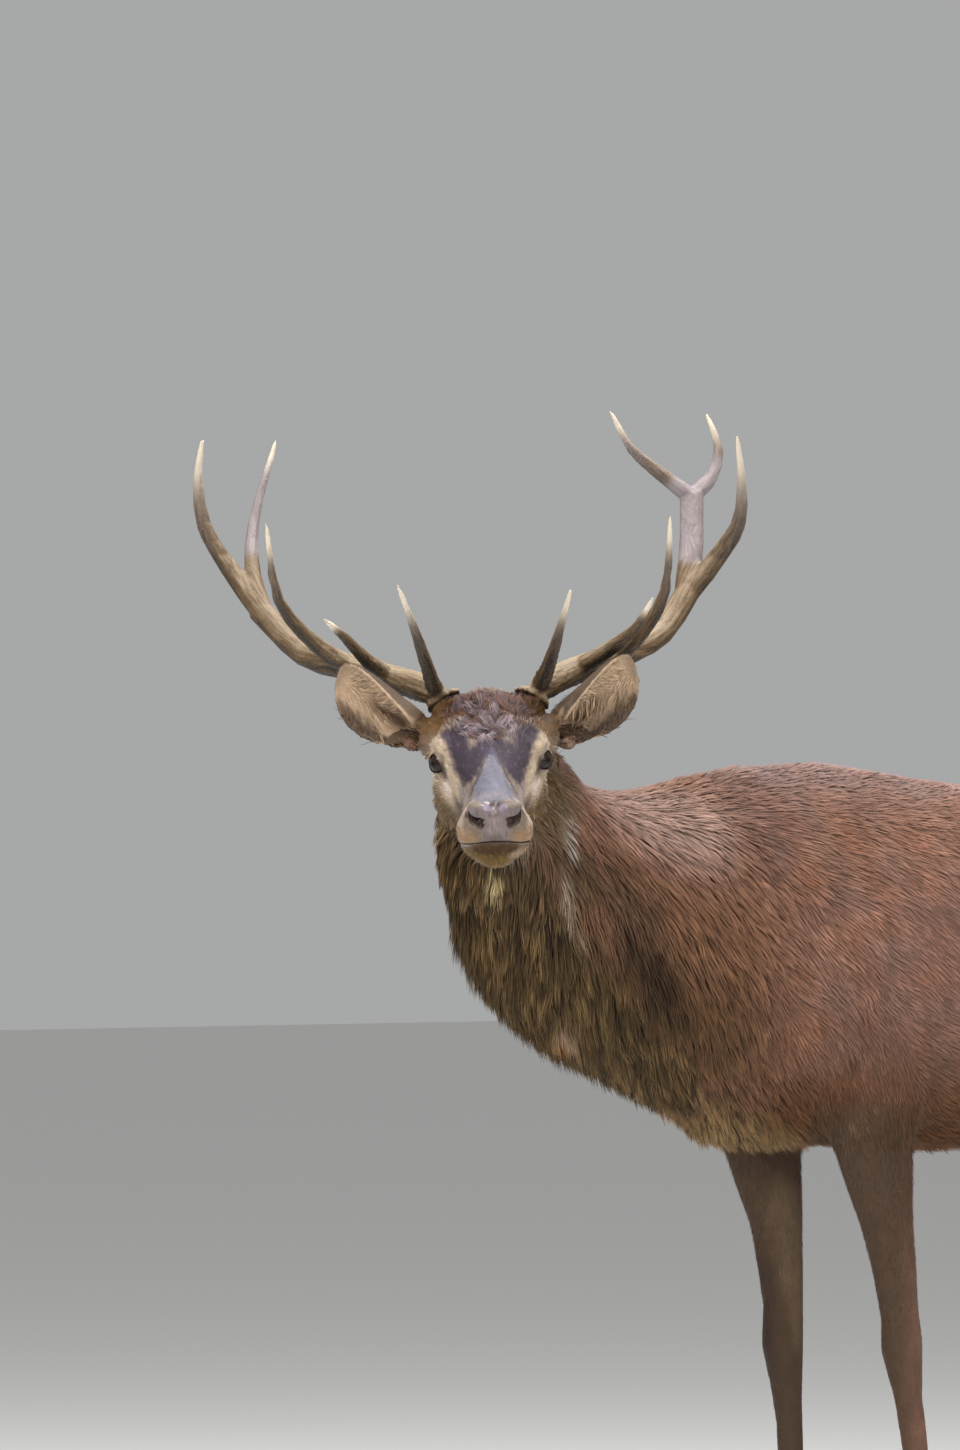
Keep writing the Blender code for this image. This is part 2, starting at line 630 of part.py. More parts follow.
def loose_parts(made):
    """The vertices of each separate body in the mesh."""
    edges = [[] for _ in made.data.vertices]
    for a, b in (edge.vertices for edge in made.data.edges):
        edges[a].append(b)
        edges[b].append(a)
    left, groups = set(range(len(edges))), []
    while left:
        front, group = [left.pop()], set()
        while front:
            vert = front.pop()
            group.add(vert)
            for other in edges[vert]:
                if other in left:
                    left.remove(other)
                    front.append(other)
        groups.append(group)
    return sorted(groups, key=len, reverse=True)


def only(made, group):
    """Keeps just the given vertices of an object."""
    shape = bmesh.new()
    shape.from_mesh(made.data)
    bmesh.ops.delete(
        shape, geom=[v for v in shape.verts if v.index not in group], context="VERTS"
    )
    shape.to_mesh(made.data)
    shape.free()


def make_antler(side, entries):
    """Fuses an antler from its beam and tines, then parts it with a thin disc through each tine."""
    sign = 1 if side == "left" else -1
    shape = bmesh.new()
    for entry in entries.values():
        skin_rings(tine_rings(entry), shape)
    burr, towards = burr_place(sign)
    path = [burr - towards * 0.008, burr + towards * 0.004, burr + towards * 0.013]
    ring = tube_rings(path, [BURR_RADIUS, BURR_RADIUS, BURR_RADIUS * 0.80], 20)
    skin_rings([[HEAD @ p for p in points] for points in ring], shape)
    whole = fused(f"antler_{side}", shape, ANTLER_VOXEL, 3, ANTLER_TRIANGLES[side])
    turn = HEAD.to_3x3()
    foot = HEAD @ (burr + towards * GAP)
    boolean(whole, "DIFFERENCE", cutting_disc(f"foot_{side}", foot, turn @ -towards, 0.06, 0.05))
    marks = {"beam": foot}
    for part, entry in entries.items():
        path, radii = tine_path(entry)
        run = 0.0
        for before, point, radius in zip(path, path[1:], radii[1:]):
            run += (point - before).length
            if run >= entry[3] / 100 > 0:
                along = turn @ (point - before).normalized()
                disc = cutting_disc(f"{part}_cut_{side}", HEAD @ point, along, radius * 1.7, GAP)
                boolean(whole, "DIFFERENCE", disc)
                marks[part] = HEAD @ point + along * radius
                break
    settled(whole)
    groups = loose_parts(whole)
    for part, mark in marks.items():
        gaps = [min((whole.data.vertices[v].co - mark).length for v in g) for g in groups]
        made = copy_of(whole, f"antler_{side}_{part}", "antler")
        only(made, groups[gaps.index(min(gaps))])


def foot_of(kind, side):
    """Where a foot stands: its middle at floor level."""
    sign = 1 if side == "left" else -1
    x, y = {"fore": (0.103, 0.036), "hind": (0.112, 0.900)}[kind]
    shift = SHOULDER_SHIFT[side] if kind == "fore" else 0.0
    return Vector((sign * x, y + STANCE[kind, side] + shift, 0))


def hoof_frame(kind, side, height=HOOF_TOP):
    """A frame on the hoof's upper rim, which falls towards the heel."""
    return (
        Matrix.Translation(foot_of(kind, side) + Vector((0, 0, height)))
        @ Matrix.Rotation(-HOOF_SLOPE, 4, "X")
    )


def make_claw(name, kind, side, hand):
    """One half of a hoof: a flat sole, a pointed toe and an upper rim on the hoof's sloping plane."""
    shape = bmesh.new()
    foot = foot_of(kind, side)
    plane = hoof_frame(kind, side, HOOF_TOP - GAP)
    normal = plane.to_3x3().col[2]
    rings = []
    # Levels: height share, reach to the toe, reach to the heel and half breadth
    for share, toe, heel, half in (
        (0.0, 0.054, 0.036, 0.0165),
        (0.50, 0.046, 0.037, 0.0175),
        (1.0, 0.031, 0.033, 0.0155),
    ):
        ring = []
        for a in np.arange(10) * math.tau / 10:
            forward = math.cos(a)
            reach = toe * forward if forward > 0 else heel * forward
            width = half * math.sin(a) * (1 - 0.30 * max(forward, 0) ** 2)
            inward = -hand * 0.006 * max(forward, 0) ** 2 * (1 - share)
            x = foot.x + hand * 0.0178 + width + inward
            y = foot.y - reach
            rim = foot.z + HOOF_TOP - GAP - (y - foot.y) * normal.y / normal.z
            ring.append(Vector((x, y, rim * share)))
        rings.append(ring)
    skin_rings(rings, shape)
    return mesh_object(name, shape, "hoof")


def make_dewclaw(name, kind, side, hand, grown=0.0):
    """A small horn behind the fetlock, pointing down and back."""
    foot = foot_of(kind, side)
    start = foot + Vector((hand * 0.019, 0.046, 0.122))
    end = foot + Vector((hand * 0.026, 0.076, 0.088))
    start += (start - end).normalized() * grown
    path = [start, start.lerp(end, 0.65), end]
    radii = np.array([0.0095, 0.0095, 0.0040]) + 1.3 * grown
    shape = bmesh.new()
    skin_rings(tube_rings(path, radii, 6), shape)
    if grown:
        return helper(mesh_object(name, shape))
    return mesh_object(name, shape, "hoof")


def tilted(point, degrees, axis="Y"):
    return Matrix.Translation(point) @ Matrix.Rotation(math.radians(degrees), 4, axis)


def part_flesh():
    """Fuses the flesh and parts it into the head, neck, trunk, tail and legs."""
    shape = bmesh.new()
    add_head(shape)
    add_neck_and_throat(shape)
    head_flesh = fused("head_flesh", shape, HEAD_VOXEL, 8, HEAD_TRIANGLES)
    shape = bmesh.new()
    add_head(shape)
    add_neck_and_throat(shape)
    add_body(shape)
    body_flesh = fused("body_flesh", shape, BODY_VOXEL, 9, BODY_TRIANGLES)

    # The head's block ends under the jaw and on a plane from there up behind the poll
    sideways = HEAD @ Matrix.Rotation(math.pi / 2, 4, "Z")
    head = copy_of(head_flesh, "head", "face")
    boolean(head, "INTERSECT", profile_block("head_block", HEAD_OUTLINE, (-0.3, 0.3), sideways))
    head_room = profile_block("head_room", HEAD_OUTLINE, (-0.3, 0.3), sideways, GAP)
    for sign in (1, -1):
        centre, towards = burr_place(sign)
        burr_cut = cutting_disc(f"burr_cut_{sign}", HEAD @ centre, HEAD.to_3x3() @ towards, 0.05, 0.04)
        boolean(head, "DIFFERENCE", socket(sign), nostril(sign), ear_room(sign), burr_cut)

    # The neck's block starts on a plane along the front edge of the shoulders
    shoulder = tilted((0, -0.165, 1.0), 14, "X")
    neck_low, neck_high = (-0.6, -1.2, -1.2), (0.6, 0.0, 1.2)
    neck = copy_of(body_flesh, "neck", "mane")
    boolean(neck, "INTERSECT", block("neck_block", neck_low, neck_high, shoulder))
    boolean(neck, "DIFFERENCE", head_room)
    neck_room = block("neck_room", neck_low, neck_high, shoulder, GAP)

    trunk = copy_of(body_flesh, "trunk", "coat")
    boolean(trunk, "DIFFERENCE", neck_room)
    tail_frame = tilted((0, 1.066, 1.120), -10, "X")
    tail_low, tail_high = (-0.06, 0.0, -0.25), (0.06, 0.12, 0.055)
    tail = copy_of(body_flesh, "tail", "coat")
    boolean(tail, "INTERSECT", block("tail_block", tail_low, tail_high, tail_frame))
    boolean(trunk, "DIFFERENCE", block("tail_room", tail_low, tail_high, tail_frame, GAP))
    boolean(trunk, "DIFFERENCE", block("under_trunk", (-0.6, -2, -1), (0.6, 2, UNDER_TRUNK)))
    for side, sign in (("left", 1), ("right", -1)):
        fore = SHOULDER_SHIFT[side]
        for kind, outline, ends, knee in (
            ("fore", FORE_OUTLINE, [y + fore for y in FORE_ENDS], KNEE_CUT),
            ("hind", HIND_OUTLINE, HIND_ENDS, HOCK_CUT),
        ):
            name = f"{kind}leg_{side}"
            if side == "right":
                outline = [(-x, z) for x, z in reversed(outline)]
            near = profile_block(f"{name}_block", outline, ends)
            boolean(trunk, "DIFFERENCE", profile_block(f"{name}_room", outline, ends, None, GAP))
            ahead, behind = (-0.5, 0.5) if kind == "fore" else (0.5, 1.5)
            inner, outer = sorted((sign * 0.012, sign * 0.5))
            below = block(f"{name}_below", (inner, ahead, -1), (outer, behind, knee - GAP / 2))
            above = block(f"{name}_above", (-0.6, -2, knee + GAP / 2), (0.6, 2, 2))
            sole = block(f"{name}_sole", (-0.2, -0.4, -0.3), (0.2, 0.4, 0.0), hoof_frame(kind, side))
            upper = copy_of(body_flesh, f"{name}_upper", "legs")
            boolean(upper, "INTERSECT", near, above)
            lower = copy_of(body_flesh, f"{name}_lower", "legs")
            boolean(lower, "INTERSECT", below)
            claws = [make_dewclaw(f"{name}_dewclaw_cut_{hand}", kind, side, hand, GAP) for hand in (1, -1)]
            boolean(lower, "DIFFERENCE", sole, *claws)
            for part in (upper, lower):
                keep_largest(settled(part))
    for part in (head, neck, trunk, tail):
        keep_largest(settled(part))


def keep_largest(made):
    """Drops crumbs that a cut leaves loose."""
    only(made, loose_parts(made)[0])


def make_feet():
    for kind in ("fore", "hind"):
        for side in ("left", "right"):
            outward = 1 if side == "left" else -1
            for hand, place in ((outward, "outer"), (-outward, "inner")):
                make_claw(f"hoof_{kind}_{side}_{place}", kind, side, hand)
                make_dewclaw(f"dewclaw_{kind}_{side}_{place}", kind, side, hand)


def centre_on_floor():
    """Hangs all nodes on one empty, so that the origin is below the middle of the whole."""
    bpy.context.view_layer.update()
    graph = bpy.context.evaluated_depsgraph_get()
    nodes = [o for o in bpy.context.scene.objects if o.type == "MESH" and not o.hide_render]
    corners = [
        o.matrix_world @ Vector(c) for o in nodes for c in o.evaluated_get(graph).bound_box
    ]
    low = Vector(map(min, *corners))
    high = Vector(map(max, *corners))
    stag = bpy.data.objects.new("stag", None)
    bpy.context.scene.collection.objects.link(stag)
    stag.location = (-(low.x + high.x) / 2, -(low.y + high.y) / 2, -low.z)
    for node in bpy.context.scene.objects:
        if node.type == "MESH" and node.parent is None:
            node.parent = stag


def main():
    for old in list(bpy.data.objects):
        bpy.data.objects.remove(old)
    part_flesh()
    for side, sign in (("left", 1), ("right", -1)):
        make_eye(sign, f"eye_{side}")
        make_ear(sign, f"ear_{side}")
    make_antler("left", LEFT_ANTLER)
    make_antler("right", RIGHT_ANTLER)
    make_feet()
    centre_on_floor()


main()
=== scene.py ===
"""Red deer stag: the skin, coat, antlers, eyes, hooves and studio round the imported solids.

Lengths are in metres. The stag faces -Y with its left at +X, and looks back past its left
shoulder. Places on the body are given from the floor point under the withers, and places on
the head from the point midway between the eyes, with the nose towards -Y.
"""

import math
from collections import namedtuple

import bmesh
import bpy
import numpy as np
from mathutils import Matrix, Vector, kdtree
from mathutils.bvhtree import BVHTree


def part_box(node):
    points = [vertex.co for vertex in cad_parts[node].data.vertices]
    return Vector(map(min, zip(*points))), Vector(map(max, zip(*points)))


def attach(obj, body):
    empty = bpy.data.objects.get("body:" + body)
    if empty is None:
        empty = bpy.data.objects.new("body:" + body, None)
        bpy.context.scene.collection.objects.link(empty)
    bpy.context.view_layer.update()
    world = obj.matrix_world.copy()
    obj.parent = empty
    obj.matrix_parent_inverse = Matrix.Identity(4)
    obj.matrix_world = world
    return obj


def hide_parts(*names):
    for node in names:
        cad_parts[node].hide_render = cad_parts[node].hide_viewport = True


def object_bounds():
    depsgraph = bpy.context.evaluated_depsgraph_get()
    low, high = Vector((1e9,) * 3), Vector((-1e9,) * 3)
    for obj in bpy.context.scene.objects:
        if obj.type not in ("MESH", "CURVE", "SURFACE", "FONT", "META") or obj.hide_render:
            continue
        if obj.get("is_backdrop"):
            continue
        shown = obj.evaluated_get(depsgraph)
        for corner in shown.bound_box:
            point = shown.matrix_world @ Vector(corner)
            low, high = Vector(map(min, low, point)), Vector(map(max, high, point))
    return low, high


bl_info = {
    "name": "Red Deer Stag",
    "version": (1, 0, 0),
    "blender": (4, 5, 0),
    "location": "View3D > Sidebar > Stag",
    "description": "Dresses the solids of a life-size stag with skin, coat and antlers",
    "category": "Add Mesh",
}

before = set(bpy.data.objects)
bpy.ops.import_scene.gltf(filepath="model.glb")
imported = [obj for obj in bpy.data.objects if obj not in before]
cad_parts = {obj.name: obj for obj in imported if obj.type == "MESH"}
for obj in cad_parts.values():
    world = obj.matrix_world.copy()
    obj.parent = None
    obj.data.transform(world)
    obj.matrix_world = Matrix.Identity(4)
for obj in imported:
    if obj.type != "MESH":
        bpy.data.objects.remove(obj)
CAD_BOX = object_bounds()

# ------------------------------------------------------------------ where things are


def middle(node):
    low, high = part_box(node)
    return (low + high) / 2


EYES = {1: middle("eye_left"), -1: middle("eye_right")}
EYE_RADIUS = max(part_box("eye_left")[1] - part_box("eye_left")[0]) / 2
BETWEEN_EYES = (EYES[1] + EYES[-1]) / 2
HEAD_TURN, HEAD_RAISE, HEAD_TILT = math.radians(53.5), math.radians(20), math.radians(-2)
HEAD = (
    Matrix.Translation(BETWEEN_EYES)
    @ Matrix.Rotation(HEAD_TURN, 4, "Z")
    @ Matrix.Rotation(HEAD_RAISE, 4, "X")
    @ Matrix.Rotation(HEAD_TILT, 4, "Y")
)
WITHERS_BEHIND_EYES = Vector((-0.1145, 0.666, 0))
BODY = Matrix.Translation((*(BETWEEN_EYES + WITHERS_BEHIND_EYES).xy, 0))
FLESH = sorted(
    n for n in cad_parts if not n.startswith(("antler", "hoof", "dewclaw", "eye"))
)
EARS = ("ear_left", "ear_right")
SIDES = (1, -1)  # left, right
HOOF_TOP = max(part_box(n)[1][2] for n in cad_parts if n.startswith("hoof"))


def array(matrix):
    return np.array(matrix, float)


def into(matrix, points):
    """Points given in the world, as the frame of the matrix has them."""
    turned = array(matrix.inverted())
    return points @ turned[:3, :3].T + turned[:3, 3]


def out_of(matrix, points):
    """Points given in the frame of the matrix, as the world has them."""
    turned = array(matrix)
    return points @ turned[:3, :3].T + turned[:3, 3]


def unit(vectors):
    return vectors / np.maximum(np.linalg.norm(vectors, axis=-1, keepdims=True), 1e-9)


def smoothstep(low, high, values):
    share = np.clip((values - low) / (high - low), 0, 1)
    return share * share * (3 - 2 * share)


WAVES = 7


def ripple(points, size, seed):
    """Smooth noise, mostly from -1 to 1 and the same for each run: a few crossed waves."""
    draw = np.random.default_rng(seed)
    total = np.zeros(len(points))
    for _ in range(WAVES):
        way = draw.normal(size=3)
        way *= 2 * math.pi / (size * np.linalg.norm(way) * draw.uniform(0.6, 1.6))
        total += np.sin(points @ way + draw.uniform(0, 2 * math.pi))
    return total / 4


# ------------------------------------------------------------------ settings


class StagSizes(bpy.types.PropertyGroup):
    """Sizes of the coat and skin."""

    hair_length: bpy.props.FloatProperty(
        name="Hair length", description="Length of all hair, as a share of its plain length",
        default=1.0, min=0.5, max=1.5, subtype="FACTOR",
    )
    hair_breadth: bpy.props.FloatProperty(
        name="Hair breadth", description="Breadth of the tufts, as a share of the plain one",
        default=1.0, min=0.5, max=2.0, subtype="FACTOR",
    )
    antler_groove: bpy.props.FloatProperty(
        name="Antler groove", description="Depth of the furrows along the antlers",
        default=0.0008, min=0.0, max=0.003, unit="LENGTH",
    )
    lid_thickness: bpy.props.FloatProperty(
        name="Lid thickness", description="How far the eyelids stand over the eyeballs",
        default=0.0022, min=0.001, max=0.004, unit="LENGTH",
    )


class StagColours(bpy.types.PropertyGroup):
    """Colours of the floor and the bare parts."""

    antler: bpy.props.FloatVectorProperty(
        name="Antler", description="Brown stain of the antlers", subtype="COLOR",
        default=(0.100, 0.057, 0.021), min=0, max=1,
    )
    ivory: bpy.props.FloatVectorProperty(
        name="Ivory", description="Polished tips of the tines", subtype="COLOR",
        default=(0.60, 0.51, 0.40), min=0, max=1,
    )
    hoof: bpy.props.FloatVectorProperty(
        name="Hoof", description="Horn of the hooves", subtype="COLOR",
        default=(0.030, 0.024, 0.020), min=0, max=1,
    )
    floor: bpy.props.FloatVectorProperty(
        name="Floor", description="Pale studio floor", subtype="COLOR",
        default=(0.80, 0.80, 0.78), min=0, max=1,
    )


class Kept:
    """Reads a value from one of the scene's property groups."""

    def __init__(self, group):
        self.__dict__["group"] = group

    def __getattr__(self, name):
        return getattr(getattr(bpy.context.scene, self.group), name)


SIZES = Kept("stag_sizes")
COLOURS = Kept("stag_colours")

# ------------------------------------------------------------------ shader sums


class Value:
    """A shader socket that takes part in Python sums."""

    def __init__(self, shade, socket):
        self.shade = shade
        self.socket = socket

    def maths(self, operation, *others):
        return self.shade.node("ShaderNodeMath", {"operation": operation}, *others)

    def __add__(self, other):
        return self.maths("ADD", self, other)

    def __sub__(self, other):
        return self.maths("SUBTRACT", self, other)

    def __rsub__(self, other):
        return self.maths("SUBTRACT", other, self)

    def __mul__(self, other):
        return self.maths("MULTIPLY", self, other)

    __radd__ = __add__
    __rmul__ = __mul__


class Shade:
    """A material, with one way to add any node to it."""

    def __init__(self, name, **constants):
        self.material = bpy.data.materials.new(name)
        self.material.use_nodes = True
        self.tree = self.material.node_tree
        self.shader = self.tree.nodes["Principled BSDF"]
        for socket, value in constants.items():
            self.shader.inputs[socket.replace("_", " ")].default_value = value

    def node(self, kind, settings=None, *values, output=0, **named):
        """Adds a node. Its settings come first, then the sockets by order or by name."""
        made = self.tree.nodes.new(kind)
        for name, value in (settings or {}).items():
            setattr(made, name, value)
        sockets = list(zip(range(len(values)), values))
        sockets += [(name.replace("_", " "), value) for name, value in named.items()]
        for place, value in sockets:
            self.give(made.inputs[place], value)
        return Value(self, made.outputs[output])

    def give(self, socket, value):
        if isinstance(value, Value):
            self.tree.links.new(value.socket, socket)
        elif value is not None:
            plain = hasattr(value, "__len__") and len(value) == 3 and socket.type == "RGBA"
            socket.default_value = (*value, 1) if plain else value

    def place(self):
        return self.node("ShaderNodeTexCoord", output="Object")

    def stored(self, name, output="Color"):
        return self.node("ShaderNodeAttribute", {"attribute_name": name}, output=output)

    def noise(self, place, scale, detail=3.0, rough=0.5, output="Fac"):
        return self.node(
            "ShaderNodeTexNoise", None, output=output, Vector=place, Scale=scale,
            Detail=detail, Roughness=rough,
        )

    def ramp(self, value, *stops):
        """A Color Ramp through (place, colour) stops."""
        found = self.node("ShaderNodeValToRGB", None, value)
        elements = found.socket.node.color_ramp.elements
        while len(elements) < len(stops):
            elements.new(0.5)
        for element, (place, colour) in zip(elements, stops):
            element.position = place
            element.color = (*colour, 1)
        return found

    def mixed(self, share, first, second, blend="MIX"):
        made = self.tree.nodes.new("ShaderNodeMix")
        made.data_type = "RGBA"
        made.blend_type = blend
        made.clamp_result = blend != "MIX"
        colours = [s for s in made.inputs if s.type == "RGBA"]
        for socket, value in zip([made.inputs[0], *colours], (share, first, second)):
            self.give(socket, value)
        return Value(self, [s for s in made.outputs if s.type == "RGBA"][0])

    def grey(self, light):
        return self.node("ShaderNodeCombineColor", None, light, light, light, output="Color")

    def bump(self, height, strength, distance, normal=None):
        return self.node(
            "ShaderNodeBump", None, output="Normal", Strength=strength, Distance=distance,
            Height=height, Normal=normal,
        )

    def finish(self, **links):
        for socket, value in links.items():
            self.give(self.shader.inputs[socket.replace("_", " ")], value)
        return self.material


# ------------------------------------------------------------------ mesh work


def only(*chosen):
    """Selects these objects alone, with the first one active."""
    bpy.ops.object.select_all(action="DESELECT")
    for piece in chosen:
        piece.select_set(True)
    bpy.context.view_layer.objects.active = chosen[0]


def read(items, field, width, kind=np.float32):
    """One field of many mesh elements, with a row for each element."""
    found = np.empty(len(items) * width, kind)
    items.foreach_get(field, found)
    return found.reshape(-1, width)


def points_of(piece):
    return read(piece.data.vertices, "co", 3).astype(float)


def place_points(piece, points):
    piece.data.vertices.foreach_set("co", points.astype(np.float32).ravel())
    piece.data.update()


def normals_of(piece):
    return read(piece.data.vertex_normals, "vector", 3).astype(float)


def new_object(name, data):
    """Puts a mesh, a light or a camera in the scene."""
    made = bpy.data.objects.new(name, data)
    bpy.context.scene.collection.objects.link(made)
    return made


def new_piece(name, points, faces):
    mesh = bpy.data.meshes.new(name)
    mesh.from_pydata([tuple(p) for p in points], [], [tuple(f) for f in faces])
    mesh.update()
    return new_object(name, mesh)


def apply(piece, kind, **settings):
    """Adds a modifier, sets it and applies it."""
    only(piece)
    bpy.ops.object.modifier_add(type=kind)
    step = piece.modifiers[-1]
    for name, value in settings.items():
        setattr(step, name, value)
    bpy.ops.object.modifier_apply(modifier=step.name)


WELD = 1e-5  # corners of one solid nearer than this are the same corner


def joined_copies(name, nodes, grown):
    """One new object from copies of solids, each grown a hair so that its neighbours meet it."""
    copies = []
    for node in nodes:
        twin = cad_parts[node].copy()
        twin.data = twin.data.copy()
        twin.parent = None
        bpy.context.scene.collection.objects.link(twin)
        for key in list(twin.keys()):
            del twin[key]
        twin.data.materials.clear()
        shape = bmesh.new()
        shape.from_mesh(twin.data)
        bmesh.ops.remove_doubles(shape, verts=shape.verts, dist=WELD)
        shape.normal_update()
        for corner in shape.verts:
            corner.co += corner.normal * grown
        shape.to_mesh(twin.data)
        shape.free()
        copies.append(twin)
    only(*copies)
    if len(copies) > 1:
        bpy.ops.object.join()
    copies[0].name = copies[0].data.name = name
    return copies[0]


def melted(name, nodes, voxel, grown=0.0006):
    """One closed mesh of even faces round copies of solids."""
    piece = joined_copies(name, nodes, grown)
    apply(piece, "REMESH", mode="VOXEL", voxel_size=voxel)
    return piece


def edges_of(piece):
    return read(piece.data.edges, "vertices", 2, np.int32)


DRAWN_IN, LET_OUT = 0.5, -0.52  # by turns, so that the whole keeps its size


def softened(points, edges, rounds, share=None):
    """Evens out the points along the edges without shrinking what they enclose."""
    count = len(points)
    degree = np.bincount(edges.ravel(), minlength=count)[:, None].clip(1)
    share = np.ones((count, 1)) if share is None else share[:, None]
    for turn in range(2 * rounds):
        total = np.empty_like(points)
        for axis in range(3):
            total[:, axis] = np.bincount(
                edges[:, 0], points[edges[:, 1], axis], minlength=count
            ) + np.bincount(edges[:, 1], points[edges[:, 0], axis], minlength=count)
        pull = LET_OUT if turn % 2 else DRAWN_IN
        points = points + (total / degree - points) * share * pull
    return points


def nearest_node(points, nodes):
    """For each point, the number of the solid whose surface is nearest."""
    corners, faces, owner = [], [], []
    for number, node in enumerate(nodes):
        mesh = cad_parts[node].data
        first = len(corners)
        corners += [v.co for v in mesh.vertices]
        faces += [[first + i for i in p.vertices] for p in mesh.polygons]
        owner += [number] * len(mesh.polygons)
    tree = BVHTree.FromPolygons(corners, faces)
    owner = np.array(owner)
    return owner[[tree.find_nearest(Vector(p))[2] for p in points]]


# ------------------------------------------------------------------ the lie of the coat

# A tuft's root place, the way the hair points, its length in millimetres, how far it lifts off
# the skin in degrees, and how deep the skin lies under the coat's tips in millimetres.
Lie = namedtuple("Lie", "place way length lift depth")

# Trunk and legs, on the left side; the right side is the same, mirrored.
BODY_LIE = [
    Lie((0.00, -0.05, 1.28), (0, 1.0, -0.10), 26, 10, 8),
    Lie((0.00, 0.30, 1.24), (0, 1.0, -0.02), 20, 8, 7),
    Lie((0.00, 0.65, 1.24), (0, 1.0, -0.02), 20, 8, 7),
    Lie((0.00, 0.95, 1.22), (0, 0.9, -0.45), 22, 9, 7),
    Lie((0.13, -0.08, 1.20), (0, 0.85, -0.50), 26, 9, 8),
    Lie((0.13, 0.30, 1.18), (0, 0.85, -0.50), 21, 8, 7),
    Lie((0.13, 0.65, 1.18), (0, 0.90, -0.42), 20, 8, 7),
    Lie((0.14, 0.95, 1.12), (0, 0.60, -0.80), 22, 9, 7),
    Lie((0.17, -0.10, 1.05), (0, 0.62, -0.78), 28, 9, 9),
    Lie((0.19, 0.10, 1.03), (0, 0.72, -0.70), 23, 8, 7),
    Lie((0.22, 0.40, 1.00), (0, 0.80, -0.60), 22, 8, 7),
    Lie((0.21, 0.62, 1.00), (0, 0.80, -0.60), 20, 8, 7),
    Lie((0.18, 0.85, 0.98), (0, 0.45, -0.90), 20, 8, 6),
    Lie((0.12, 1.00, 0.92), (0, 0.05, -1.00), 26, 10, 6),
    Lie((0.17, -0.12, 0.88), (0, 0.60, -0.80), 26, 9, 9),
    Lie((0.19, 0.15, 0.82), (0, 0.85, -0.50), 25, 9, 8),
    Lie((0.20, 0.40, 0.80), (0, 0.92, -0.38), 25, 9, 8),
    Lie((0.16, 0.62, 0.80), (0, 0.85, -0.30), 24, 10, 8),
    Lie((0.00, -0.12, 0.72), (0, 0.95, -0.35), 42, 16, 12),
    Lie((0.00, 0.15, 0.69), (0, 1.00, -0.15), 32, 14, 10),
    Lie((0.00, 0.45, 0.70), (0, 1.00, -0.05), 30, 13, 10),
    Lie((0.03, 0.72, 0.78), (0, 0.70, -0.60), 22, 10, 6),
    Lie((0.16, 0.82, 0.80), (0, 0.25, -1.00), 17, 8, 5),
    Lie((0.12, 0.92, 0.70), (0, 0.15, -1.00), 16, 9, 4),
    Lie((0.12, 0.85, 0.62), (0, 0.25, -1.00), 13, 8, 3),
    Lie((0.12, 0.95, 0.50), (0, 0.05, -1.00), 12, 8, 3),
    Lie((0.12, 0.95, 0.30), (0, 0.02, -1.00), 9, 7, 2),
    Lie((0.12, 0.94, 0.13), (0, 0.10, -1.00), 11, 14, 2),
    Lie((0.12, 0.92, 0.05), (0, -0.20, -1.00), 7, 10, 1.2),
    Lie((0.13, 0.03, 0.76), (0, 0.25, -1.00), 16, 8, 5),
    Lie((0.11, 0.04, 0.62), (0, 0.15, -1.00), 13, 8, 3),
    Lie((0.11, 0.06, 0.45), (0, 0.05, -1.00), 10, 7, 2.5),
    Lie((0.11, 0.07, 0.28), (0, 0.02, -1.00), 8, 7, 2),
    Lie((0.11, 0.09, 0.13), (0, 0.10, -1.00), 11, 14, 2),
    Lie((0.11, 0.07, 0.05), (0, -0.20, -1.00), 7, 10, 1.2),
    Lie((0.00, 1.06, 1.16), (0, 0.7, -0.70), 26, 12, 5),
    Lie((0.00, 1.11, 1.05), (0, 0.10, -1.00), 30, 12, 5),
    Lie((0.00, 1.11, 0.97), (0, 0.05, -1.00), 30, 10, 4),
]
